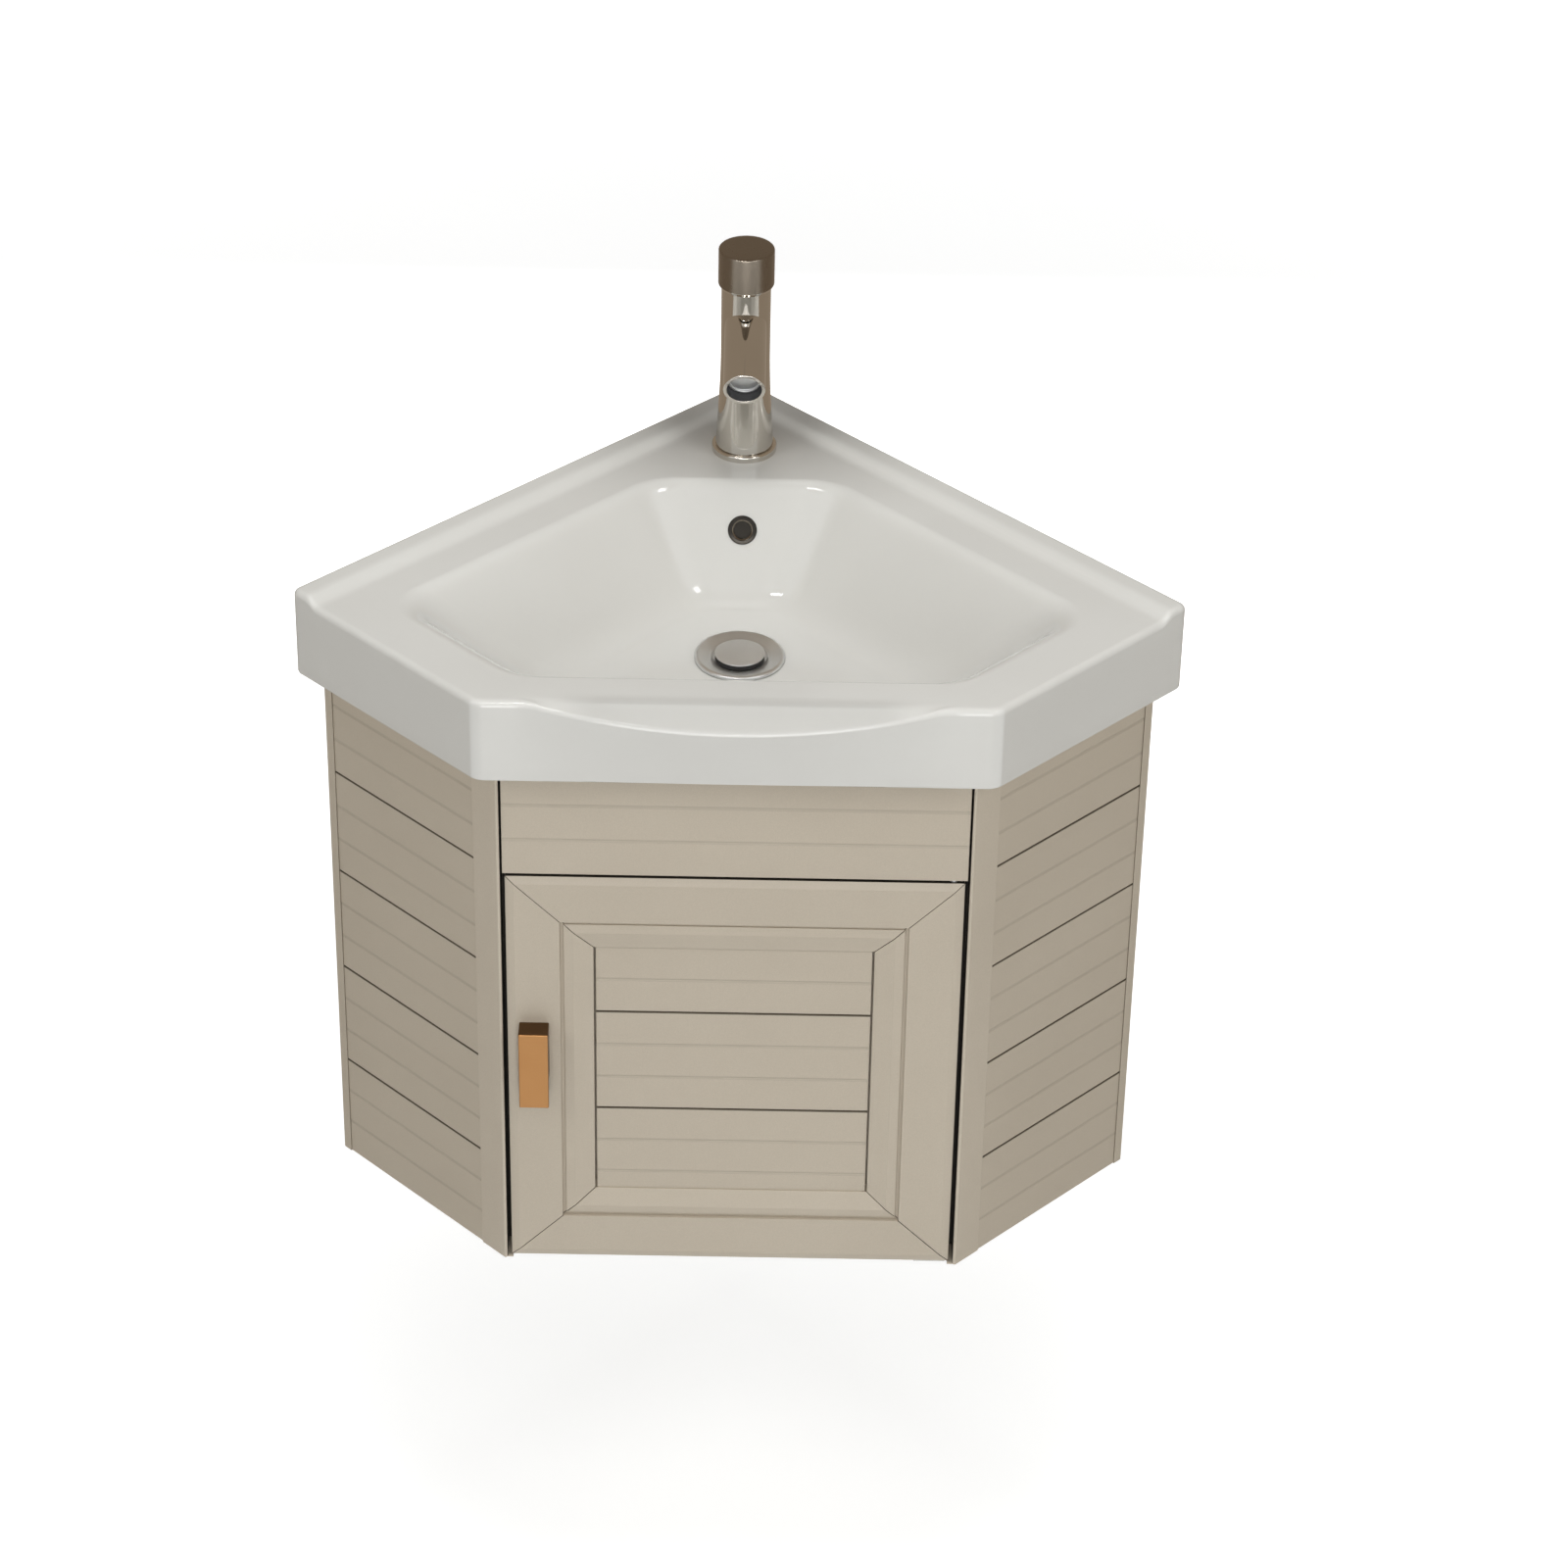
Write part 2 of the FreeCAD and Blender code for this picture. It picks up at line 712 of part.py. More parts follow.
def handle_screws():
    """Two screws from the door's rear face into the handle."""
    screws = []
    for point in screw_points():
        rear = point + back * door_thickness
        shank = rod(handle_screw_radius, door_thickness + handle_screw_grip, rear, front)
        head = rod(handle_screw_head_radius, handle_screw_head, rear, back)
        screws.append(shank.fuse(head).removeSplitter())
    return Part.makeCompound(screws)


def catch_corner():
    """The lower front corner of the catch, beside the left post's stop."""
    return Vector(stop_width - post_x, stop_y, handle_bottom - catch_drop - catch_height)


def magnet_catch():
    low = catch_corner() + front * (bumper_gap - catch_gap)
    return block(low, catch_corner() + Vector(catch_width, post_rear_y - stop_y, catch_height))


def catch_strike():
    """The steel plate let into the door's rear face, opposite the catch."""
    low = catch_corner() + front * (bumper_gap + strike_thickness)
    return block(low, low + Vector(catch_width, strike_thickness, catch_height))


def scoop():
    """The bowed front of the apron: it swells upwards and its top slopes from the deck to a curved lip."""
    sections = []
    for z, bulge in ((cabinet_height, scoop_foot), (deck_z, scoop_bulge)):
        ends = [Vector(side * scoop_half_width, -basin_front, z) for side in (-1, 1)]
        crown = Vector(0, -basin_front - bulge, z)
        rear = [end + back * scoop_root for end in reversed(ends)]
        bow = Part.Arc(ends[0], crown, ends[1]).toShape()
        sections.append(Part.Wire([bow, Part.makeLine(ends[1], rear[0]), Part.makeLine(rear[0], rear[1]),
                                   Part.makeLine(rear[1], ends[0])]))
    swell = Part.makeLoft(sections, True, True)
    reach = scoop_bulge + overrun
    side = -right * (scoop_half_width + overrun)
    edge = Vector(0, -basin_front, deck_z) + side
    tip = edge + front * reach
    wedge = [edge, tip - up * (reach * scoop_slope), tip + up * overrun, edge + up * overrun]
    return swell.cut(solid_between(wedge, right * (2 * scoop_half_width + 2 * overrun)))


def bowl(grow, z_low, z_high):
    """The bowl's hollow, or its outside when grown by the wall."""
    radii = bowl_radii(bowl_back_radius + grow, bowl_tip_radius + grow, bowl_front_radius + grow)
    mouth = bowl_corners(wall_margin - grow, side_margin - grow, front_margin - grow, tap_ledge - grow)
    bed = bowl_corners(floor_wall_margin - grow, floor_side_margin - grow, floor_front_margin - grow,
                       floor_back - grow)
    bed_wire = rounded_outline(bed, [floor_corner_radius + grow] * len(bed), z_low)
    body = Part.makeLoft([bed_wire, rounded_outline(mouth, radii, z_high)], True, True)
    return body.makeFillet(floor_fillet, edges_at(body, z_low, lambda p: True))


def overflow_mouth():
    """The centre of the overflow on the bowl's back wall, and the direction out of the wall."""
    share = overflow_drop / bowl_depth
    mouth = Vector(0, -tap_ledge - (floor_back - tap_ledge) * share, deck_z - overflow_drop)
    normal = Vector(0, -bowl_depth, floor_back - tap_ledge).normalize()
    return mouth, normal


def overflow_duct(radius):
    """The passage from the overflow down behind the bowl and under its floor to the waste."""
    mouth, normal = overflow_mouth()
    top = mouth - normal * duct_back
    low_z = floor_z - waste_boss_height + duct_radius + duct_wall
    foot = Vector(0, top.y, low_z)
    waste = Vector(0, -waste_forward + waste_hole_radius - overrun, low_z)
    entry = rod(radius, duct_back, top, normal)
    down = rod(radius, top.z - low_z, foot, up)
    level = rod(radius, foot.y - waste.y, waste, back)
    knee = Part.makeSphere(radius, top)
    elbow = Part.makeSphere(radius, foot)
    return entry.multiFuse([down, level, knee, elbow])


def basin_deck():
    """The deck with its lips, apron and scoop, open below so that the bowl can be stuck on before firing."""
    outline = rounded_outline(cut_square(0, 0, 0), [apron_back_radius, apron_side_radius, apron_front_radius,
                                                    apron_front_radius, apron_side_radius], cabinet_height)
    lip_z = deck_z + lip_height
    strip = wall_block(-overrun, basin_wall_side + overrun, -overrun, lip_width, cabinet_height, lip_z)
    lip = prism(outline, lip_z).common(strip.fuse(to_left(strip)))
    body = prism(outline, deck_z).fuse(lip).removeSplitter()
    inner = edges_at(body, deck_z, lambda p: abs(wall_distance(p) - lip_width) < lip_fillet)
    body = body.makeFillet(lip_fillet, inner)
    body = body.makeFillet(rim_edge_radius, edges_at(body, lip_z, lambda p: True))
    body = body.cut(bowl(0, floor_z, deck_z))
    body = body.makeFillet(bowl_edge_radius, edges_at(body, deck_z, on_bowl_edge))
    pocket = rounded_outline(cut_square(rim_wall_width, rim_side_width, rim_side_width),
                             [pocket_radius] * 5, cabinet_height - overrun)
    tap_hole = rod(tap_hole_radius, deck_thickness + 2 * overrun, tap_point(deck_underside - overrun), up)
    return body.fuse(scoop()).cut(prism(pocket, deck_underside)).cut(tap_hole)


def basin_bowl(deck):
    """The bowl below the deck, with the boss round the waste and the passage behind the overflow."""
    boss = rod(waste_boss_radius, waste_boss_height, waste_point(floor_z - waste_boss_height), up)
    shell = bowl(bowl_wall, floor_z - bowl_wall, deck_z - deck_thickness / 2)
    shell = shell.multiFuse([boss, overflow_duct(duct_radius + duct_wall)])
    mouth, normal = overflow_mouth()
    seat = rod(overflow_ring_radius, overflow_seat + overrun, mouth - normal * overflow_seat, normal)
    passage = rod(overflow_radius, duct_back + overrun, mouth - normal * duct_back, normal)
    waste_hole = rod(waste_hole_radius, waste_boss_height + 2 * overrun,
                     waste_point(floor_z - waste_boss_height - overrun), up)
    for cutter in (bowl(0, floor_z, deck_z), deck, seat, passage, overflow_duct(duct_radius), waste_hole):
        shell = shell.cut(cutter)
    return shell


def on_bowl_edge(point):
    """True where a point of the deck lies on the edge of the bowl's opening."""
    along = (abs(point.x) - point.y) / root2
    clear_of_lips = wall_distance(point) > wall_margin - bowl_edge_radius
    clear_of_sides = along < basin_wall_side - side_margin + bowl_edge_radius
    return clear_of_lips and clear_of_sides and -point.y < basin_front - front_margin + bowl_edge_radius


def tap_point(z):
    return Vector(0, -tap_back, z)


def waste_point(z):
    return Vector(0, -waste_forward, z)


def overflow_ring():
    """The trim ring let into the bowl's back wall round the overflow."""
    mouth, normal = overflow_mouth()
    start = mouth - normal * overflow_seat
    return tube(overflow_ring_radius, overflow_radius, overflow_ring_thickness, start, normal)


def tap_base_ring():
    hole = spigot_radius + cartridge_fit
    profile = [(hole, 0), (base_ring_radius, 0), (base_ring_radius, base_ring_height - base_ring_edge),
               (base_ring_radius - base_ring_edge, base_ring_height), (hole, base_ring_height)]
    return turned(profile, tap_point(deck_z))


def tap_top():
    """The top of the tap's body, on its axis."""
    return tap_point(deck_z + tap_height)


def lever_pivot():
    """Where the handle's tilt axis crosses the tap's axis."""
    return tap_top() - up * lever_pivot_drop


def cartridge_seat():
    """The top face of the cartridge, which the carrier turns on."""
    return tap_top() - up * cartridge_nut_height


def spout_line():
    """The spout's start on the tap's axis and its direction."""
    angle = math.radians(spout_angle)
    return tap_top() - up * spout_drop, Vector(0, -math.cos(angle), -math.sin(angle))


def tap_body():
    """The body and spout in one casting, bored for cartridge, outlet, inlets and stud."""
    foot = base_ring_height
    profile = [(0, -deck_thickness), (spigot_radius, -deck_thickness), (spigot_radius, foot),
               (tap_foot_radius, foot), (tap_body_radius, foot + tap_flare_height),
               (tap_body_radius, tap_height), (0, tap_height)]
    body = turned(profile, tap_point(deck_z))
    start, direction = spout_line()
    body = body.fuse(rod(spout_radius, spout_reach, start, direction))
    tip = start + direction * spout_reach
    seat = cartridge_seat()
    cuts = [rod(outlet_radius, outlet_depth + overrun, tip + direction * overrun, -direction),
            rod(waterway_radius, spout_reach, start, direction),
            rod(cartridge_radius + cartridge_fit, cartridge_length, seat - up * cartridge_length, up),
            rod(cartridge_nut_radius + cartridge_fit, cartridge_nut_height + overrun, seat, up)]
    base = tap_point(deck_underside)
    for offset in (-inlet_offset, inlet_offset):
        cuts.append(rod(inlet_radius, inlet_depth, base + right * offset + front * inlet_forward, up))
    cuts.append(rod(stud_radius + thread_clearance, inlet_depth, base + back * stud_back, up))
    for cutter in cuts:
        body = body.cut(cutter)
    return body


def tap_aerator():
    """The outlet insert, set back from the end of the spout, with a shallow dish inside its rim."""
    start, direction = spout_line()
    rear = start + direction * (spout_reach - outlet_depth)
    outer = outlet_radius - thread_clearance
    length = outlet_depth - outlet_recess
    dish = rod(outer - outlet_rim, outlet_dish + overrun, rear + direction * (length - outlet_dish), direction)
    return rod(outer, length, rear, direction).cut(dish)


def tap_cartridge():
    seat = cartridge_seat()
    return rod(cartridge_radius, cartridge_length, seat - up * cartridge_length, up)


def tap_cartridge_nut():
    return tube(cartridge_nut_radius, cartridge_nut_bore, cartridge_nut_height, cartridge_seat(), up)


def tap_carrier():
    """The part of the cartridge that turns with the handle, slotted for the lever to tilt in."""
    foot = cartridge_seat() + up * cartridge_fit
    body = rod(carrier_radius, carrier_height, foot, up)
    pivot = lever_pivot()
    half = lever_size / 2 + lever_slack
    slot = block(pivot + Vector(-half, -lever_slot_front, -lever_slot_depth),
                 pivot + Vector(half, lever_slot_back, carrier_height))
    return body.cut(slot).cut(axle(axle_radius))


def axle(radius):
    """The tilt axle's bar, or the hole for it."""
    return rod(radius, axle_length, lever_pivot() - right * (axle_length / 2), right)


def lever_stem():
    pivot = lever_pivot()
    half = lever_size / 2
    stem = block(pivot - Vector(half, half, lever_tail), pivot + Vector(half, half, lever_length))
    return stem.cut(axle(axle_radius + running_clearance))


def tap_handle():
    """The cap over the body: a thin skirt and a boss that grips the lever stem."""
    bottom = tap_height - handle_cap_overlap
    top = bottom + handle_cap_height
    edge = handle_cap_chamfer
    inner = handle_cap_radius - handle_cap_wall
    ceiling = top - handle_cap_top
    boss = ceiling - handle_boss_height
    profile = [(inner, bottom), (handle_cap_radius - edge, bottom), (handle_cap_radius, bottom + edge),
               (handle_cap_radius, top - edge), (handle_cap_radius - edge, top), (0, top), (0, boss),
               (handle_boss_radius, boss), (handle_boss_radius, ceiling), (inner, ceiling)]
    cap = turned(profile, tap_point(deck_z))
    pivot = lever_pivot()
    half = lever_size / 2
    socket = block(pivot - Vector(half, half, 0), pivot + Vector(half, half, lever_length))
    return cap.cut(socket)


def tap_stud():
    foot = tap_point(deck_underside + inlet_depth - stud_length) + back * stud_back
    return rod(stud_radius, stud_length, foot, up)


def tap_clamp_plate():
    """The horseshoe plate under the deck, open at the front for the water pipes."""
    low = tap_point(deck_underside - clamp_plate_thickness)
    plate = rod(clamp_plate_radius, clamp_plate_thickness, low, up)
    slot_centre = low + front * clamp_slot_forward
    half = right * clamp_slot_radius
    mouth = block(slot_centre - half + front * clamp_plate_radius,
                  slot_centre + half + up * clamp_plate_thickness)
    stud_hole = rod(stud_radius + thread_clearance, clamp_plate_thickness, low + back * stud_back, up)
    for cutter in (rod(clamp_slot_radius, clamp_plate_thickness, slot_centre, up), mouth, stud_hole):
        plate = plate.cut(cutter)
    return plate


def hexagon(radius, height, centre):
    """An upright hexagonal bar, radius measured to its corners."""
    angles = [i * math.pi / 3 for i in range(6)]
    corners = [centre + Vector(math.cos(a), math.sin(a), 0) * radius for a in angles]
    return solid_between(corners, up * height)


def tap_clamp_nut():
    low = tap_point(deck_underside - clamp_plate_thickness - clamp_nut_height) + back * stud_back
    bore = rod(stud_radius + thread_clearance, clamp_nut_height, low, up)
    return hexagon(clamp_nut_radius, clamp_nut_height, low).cut(bore)


def waste_body():
    """The waste: a dished flange on the bowl's floor, a slotted tube and a spider that guides the plug."""
    rim = waste_flange_height
    seat = rim - waste_seat_depth
    profile = [(waste_tube_radius, 0), (waste_flange_radius, 0),
               (waste_flange_radius, rim - waste_flange_rim), (waste_flange_radius - waste_flange_rim, rim),
               (waste_seat_radius, rim), (waste_seat_radius, seat), (waste_bore_radius, seat),
               (waste_bore_radius, -waste_tube_length), (waste_tube_radius, -waste_tube_length)]
    centre = waste_point(floor_z)
    body = turned(profile, centre)
    slot_low = centre - up * (waste_boss_height / 2 + waste_slot_height / 2)
    reach = waste_tube_radius + overrun
    for across, along in ((right, back), (back, right)):
        corner = slot_low - across * (waste_slot_width / 2) - along * reach
        far = corner + across * waste_slot_width + along * (2 * reach) + up * waste_slot_height
        body = body.cut(block(corner, far))
    hub_low = centre - up * spider_drop
    hub = rod(guide_radius, spider_height, hub_low, up)
    reach = (waste_bore_radius + waste_tube_radius) / 2
    arms = []
    for across, along in ((right, back), (back, right)):
        span = across * (spider_arm / 2) + along * reach
        arms.append(block(hub_low - span, hub_low + span + up * spider_height))
    body = body.multiFuse([hub] + arms)
    return body.cut(rod(stem_radius + stem_clearance, spider_height, hub_low, up)).removeSplitter()


def waste_plug():
    """The plug: a slightly domed cap on a stem."""
    low = waste_flange_height - waste_seat_depth + plug_seal_gap
    foot = low - stem_length
    top = low + plug_thickness
    profile = [(0, foot), (stem_radius, foot), (stem_radius, low), (plug_radius, low),
               (plug_radius, top - plug_dome), (plug_radius - plug_dome, top), (0, top)]
    return turned(profile, waste_point(floor_z))


def waste_washer():
    top = floor_z - waste_boss_height
    return tube(waste_washer_radius, waste_tube_radius + thread_clearance, waste_washer_thickness,
                waste_point(top - waste_washer_thickness), up)


def waste_nut():
    top = floor_z - waste_boss_height - waste_washer_thickness
    low = waste_point(top - waste_nut_height)
    return hexagon(waste_nut_radius, waste_nut_height, low).cut(
        rod(waste_tube_radius + thread_clearance, waste_nut_height, low, up))


def waste_tail():
    """The pipe from the waste down into the trap, with a collar that seats in the waste's tube."""
    joint = floor_z - waste_tube_length
    collar = rod(waste_bore_radius - thread_clearance, tail_collar, waste_point(joint), up)
    pipe = rod(tail_radius, tail_length, waste_point(joint + tail_collar - tail_length), up)
    bore = rod(tail_radius - tail_wall, tail_length, waste_point(joint + tail_collar - tail_length), up)
    return collar.fuse(pipe).cut(bore).removeSplitter()


def trap_top():
    return waste_point(floor_z - trap_body_drop)


def trap_body():
    """The upper half of the bottle trap, with necks for the inlet and the outlet."""
    top = trap_top()
    low = top - up * trap_body_height
    shell = rod(trap_radius, trap_body_height, low, up)
    shell = shell.fuse(rod(trap_neck_radius, trap_neck_height, top, up))
    shell = shell.fuse(rod(trap_neck_radius, trap_radius + outlet_neck, outlet_axis(), -off_wall))
    bore = tail_radius + stem_clearance
    shell = shell.cut(rod(trap_radius - trap_wall, trap_body_height - trap_wall, low, up))
    shell = shell.cut(rod(bore, trap_neck_height + trap_wall, top - up * trap_wall, up))
    return shell.cut(rod(bore, trap_radius + outlet_neck, outlet_axis(), -off_wall))


def outlet_axis():
    """Where the outlet's axis leaves the trap's own axis; it runs square to the right wall."""
    return trap_top() - up * outlet_pipe_drop


def trap_cup():
    """The cup that screws on below the trap's body."""
    top = trap_top() - up * trap_body_height
    low = top - up * trap_cup_height
    return rod(trap_radius, trap_cup_height, low, up).cut(
        rod(trap_radius - trap_wall, trap_cup_height - trap_wall, low + up * trap_wall, up))


def trap_nuts():
    """The two ring nuts that clamp the tail pipe and the outlet pipe in the trap."""
    bore = tail_radius + stem_clearance
    inlet = tube(trap_nut_radius, bore, trap_nut_height, trap_top() + up * trap_neck_height, up)
    start = outlet_axis() - off_wall * (trap_radius + outlet_neck)
    outlet = tube(trap_nut_radius, bore, trap_nut_height, start, -off_wall)
    return Part.makeCompound([inlet, outlet])


def outlet_pipe():
    """The pipe from the trap towards the right wall, with a slimmer end inside the trap's neck."""
    start = outlet_axis() - off_wall * trap_radius
    spigot = rod(outlet_spigot_radius, outlet_spigot_length, start, -off_wall)
    pipe = rod(tail_radius, outlet_pipe_length, start - off_wall * outlet_spigot_length, -off_wall)
    length = outlet_spigot_length + outlet_pipe_length
    return spigot.fuse(pipe).cut(rod(tail_radius - tail_wall, length, start, -off_wall))


def drilled_door():
    """The door's frame profiles with the holes for pivots, handle screws and strike."""
    top_rail, _, bottom_rail, _ = frame_profiles(rail_flange)
    _, right_stile, _, left_stile = frame_profiles(stile_flange)
    pin_foot = pivot_point(door_top - pivot_pin_length)
    top_rail = top_rail.cut(rod(pivot_radius, pivot_pin_length + overrun, pin_foot, up))
    bottom_rail = bottom_rail.cut(lower_pivot_bore())
    for point in screw_points():
        hole = handle_screw_radius + thread_clearance
        left_stile = left_stile.cut(rod(hole, door_thickness + 2 * overrun, point + front * overrun, back))
    left_stile = left_stile.cut(catch_strike())
    return {"door_rail_top": top_rail, "door_stile_right": right_stile,
            "door_rail_bottom": bottom_rail, "door_stile_left": left_stile}


def build():
    deck = basin_deck()
    nodes = {
        "basin_deck": deck, "basin_bowl": basin_bowl(deck), "overflow_ring": overflow_ring(),
        "tap_base_ring": tap_base_ring(), "tap_body": tap_body(), "tap_aerator": tap_aerator(),
        "tap_cartridge": tap_cartridge(), "tap_cartridge_nut": tap_cartridge_nut(),
        "tap_carrier": tap_carrier(), "tap_axle": axle(axle_radius),
        "tap_lever_stem": lever_stem(), "tap_handle": tap_handle(),
        "tap_stud": tap_stud(), "tap_clamp_plate": tap_clamp_plate(), "tap_clamp_nut": tap_clamp_nut(),
        "waste_body": waste_body(), "waste_plug": waste_plug(), "waste_washer": waste_washer(),
        "waste_nut": waste_nut(), "waste_tail": waste_tail(), "trap_body": trap_body(),
        "trap_cup": trap_cup(), "trap_nuts": trap_nuts(), "trap_outlet_pipe": outlet_pipe(),
        "fascia": fascia(), "top_rails": top_rails(), "cross_rails": cross_rails(),
        "bottom_rails": bottom_rails(), "bottom_panel": bottom_panel(),
        "rear_corner_post": rear_corner_post(), "hanging_rails": hanging_rails(),
        "door_beads": door_beads(), "door_corner_blocks": corner_blocks(), "door_handle": door_handle(),
        "handle_screws": handle_screws(), "pivot_plate": pivot_plate(), "pivot_pin": pivot_pin(),
        "magnet_catch": magnet_catch(), "catch_strike": catch_strike(),
    }
    nodes.update(drilled_door())
    post = front_post()
    stile = rear_stile()
    nodes.update({"post_right": post, "post_left": to_left(post),
                  "rear_stile_right": stile, "rear_stile_left": to_left(stile)})
    for i, board in enumerate(side_planks(), 1):
        nodes[f"side_plank_right_{i}"] = board
        nodes[f"side_plank_left_{i}"] = to_left(board)
    for i, board in enumerate(door_planks(), 1):
        nodes[f"door_plank_{i}"] = board
    return nodes


os.makedirs("parts", exist_ok=True)
for node, shape in build().items():
    shape.exportStep(f"parts/{node}.step")
    state = "valid" if shape.isValid() else "NOT VALID"
    print(node, len(shape.Solids), "solids", round(shape.Volume / 1000, 1), "cm3", state)
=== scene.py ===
# %% [markdown]
# # A corner vanity unit
# The unit hangs in the corner of a bathroom: a glazed basin on a coated aluminium cabinet, with a chrome
# tap. Its solids are already packed as a fixed frame, so this lesson only gives them their looks. Glossy
# round pieces are modelled again with smooth faces, flat profiles are copies of their solids with broken
# edges, and hidden parts keep their solids and get finishes.

# %% Load the frame
import json
import math
import bmesh
import bpy
from mathutils import Matrix, Vector


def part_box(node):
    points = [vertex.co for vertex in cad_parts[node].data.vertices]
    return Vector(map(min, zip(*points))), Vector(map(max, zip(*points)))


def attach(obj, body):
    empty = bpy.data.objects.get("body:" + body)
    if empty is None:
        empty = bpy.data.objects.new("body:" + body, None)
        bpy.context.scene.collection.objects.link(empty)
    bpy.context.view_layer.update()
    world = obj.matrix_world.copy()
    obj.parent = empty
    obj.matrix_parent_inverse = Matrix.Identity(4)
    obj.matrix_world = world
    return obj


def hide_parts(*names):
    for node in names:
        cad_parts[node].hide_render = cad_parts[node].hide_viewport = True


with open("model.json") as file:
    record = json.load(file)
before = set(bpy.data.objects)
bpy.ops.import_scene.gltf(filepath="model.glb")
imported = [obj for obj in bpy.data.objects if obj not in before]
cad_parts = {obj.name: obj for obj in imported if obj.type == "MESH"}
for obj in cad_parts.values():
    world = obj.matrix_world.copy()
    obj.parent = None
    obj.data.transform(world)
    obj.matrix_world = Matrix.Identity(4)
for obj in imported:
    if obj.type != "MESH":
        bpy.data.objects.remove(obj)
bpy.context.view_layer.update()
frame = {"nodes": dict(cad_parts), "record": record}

# %% [markdown]
# ## The camera
# The picture was taken with a long lens from above, about a third of the way from level to straight down,
# looking into the corner. A camera could be placed by eye and nudged, but the straight edges of the unit
# give its place exactly, so it is set from three angles, a place and a lens.

# %% Camera
CAMERA_PLACE, LENS_MM, SENSOR_MM = (0.0222, -3.1486, 2.2426), 107.36, 36.0
PITCH, ROLL, YAW = (math.radians(angle) for angle in (33.693, 1.129, 0.236))
scene = bpy.context.scene
ahead = Vector((math.sin(YAW) * math.cos(PITCH), math.cos(YAW) * math.cos(PITCH), -math.sin(PITCH)))
level = Vector((math.cos(YAW), -math.sin(YAW), 0))
upward = level.cross(ahead)
camera_right = level * math.cos(ROLL) + upward * math.sin(ROLL)
camera_up = upward * math.cos(ROLL) - level * math.sin(ROLL)
turn = Matrix((camera_right, camera_up, -ahead)).transposed()
lens = bpy.data.cameras.new("photo_lens")
lens.lens, lens.sensor_width = LENS_MM, SENSOR_MM
camera = bpy.data.objects.new("camera", lens)
camera.matrix_world = Matrix.Translation(CAMERA_PLACE) @ turn.to_4x4()
scene.collection.objects.link(camera)
scene.camera = camera
scene.view_settings.view_transform = "Standard"
print("camera", [round(v, 3) for v in camera.location], "lens", lens.lens)

# %% [markdown]
# ## Nodes
# Every finish here is a small network of shader nodes. A helper that adds a node, sets its sockets and
# links what it is given keeps each network readable as one list of steps.

# %% Node helpers
def node(tree, kind, inputs=None, **settings):
    """A shader node with its settings; an input is a value or another node's output socket."""
    made = tree.nodes.new(kind)
    for name, value in settings.items():
        setattr(made, name, value)
    for name, value in (inputs or {}).items():
        if isinstance(value, bpy.types.NodeSocket):
            tree.links.new(value, made.inputs[name])
        else:
            made.inputs[name].default_value = value
    return made


def blank(name):
    """A new material with an empty node tree and its output."""
    material = bpy.data.materials.new(name)
    material.use_nodes = True
    material.node_tree.nodes.clear()
    return material, material.node_tree, material.node_tree.nodes.new("ShaderNodeOutputMaterial")


def spread(tree, factor, low, high):
    """Turns a 0 to 1 factor into a number between low and high."""
    return node(tree, "ShaderNodeMapRange", {"Value": factor, "To Min": low, "To Max": high}).outputs[0]


def noise(tree, place, scale, detail=3.0):
    """A noise of 0 to 1 over a place on the object; a larger scale is finer."""
    return node(tree, "ShaderNodeTexNoise", {"Vector": place, "Scale": scale, "Detail": detail}).outputs[0]


def tones(tree, factor, dark, light):
    """A colour that goes from dark to light with a 0 to 1 factor."""
    return node(tree, "ShaderNodeMix", {"Factor": factor, "A": (*dark, 1), "B": (*light, 1)},
                data_type="RGBA").outputs["Result"]


print("helpers ready")

# %% [markdown]
# ## Floor and room
# The unit stands out against plain white. Bright lamps could burn the floor to white, but they would burn
# the basin too. Instead the floor and the world show white to the camera and to reflections, while only a
# dim light from the room reaches the unit. The floor glows less near the unit, so that a shadow is left.

# %% Floor and world
ROOM_LIGHT, GROUND_PLACE, GROUND_SIDE = 0.07, (0, -0.2, -0.35), 12.0
GLOW_NEAR, GLOW_FAR, NEAR, FAR = 0.52, 0.92, 0.6, 2.8
WHITE = (1, 1, 1, 1)


def seen_rays(tree):
    """1 for rays that show the background: straight to the camera, mirrored, or through glass."""
    rays = node(tree, "ShaderNodeLightPath").outputs
    first = node(tree, "ShaderNodeMath", {0: rays["Is Camera Ray"], 1: rays["Is Glossy Ray"]},
                 operation="MAXIMUM").outputs[0]
    return node(tree, "ShaderNodeMath", {0: first, 1: rays["Is Transmission Ray"]},
                operation="MAXIMUM").outputs[0]


def flat_square(name, matrix, material):
    """A flat part of the studio: a square one metre wide that the matrix stretches and places."""
    bm = bmesh.new()
    bmesh.ops.create_grid(bm, x_segments=1, y_segments=1, size=0.5, matrix=matrix)
    mesh = bpy.data.meshes.new(name)
    bm.to_mesh(mesh)
    bm.free()
    mesh.materials.append(material)
    made = bpy.data.objects.new(name, mesh)
    scene.collection.objects.link(made)
    return made


room = bpy.data.worlds.new("room")
room.use_nodes = True
tree = room.node_tree
tree.nodes.clear()
dim = node(tree, "ShaderNodeBackground", {"Color": (0.9, 0.9, 0.88, 1), "Strength": ROOM_LIGHT})
white = node(tree, "ShaderNodeBackground", {"Color": WHITE, "Strength": 1.0})
both = node(tree, "ShaderNodeMixShader", {0: seen_rays(tree), 1: dim.outputs[0], 2: white.outputs[0]})
node(tree, "ShaderNodeOutputWorld", {"Surface": both.outputs[0]})
scene.world = room

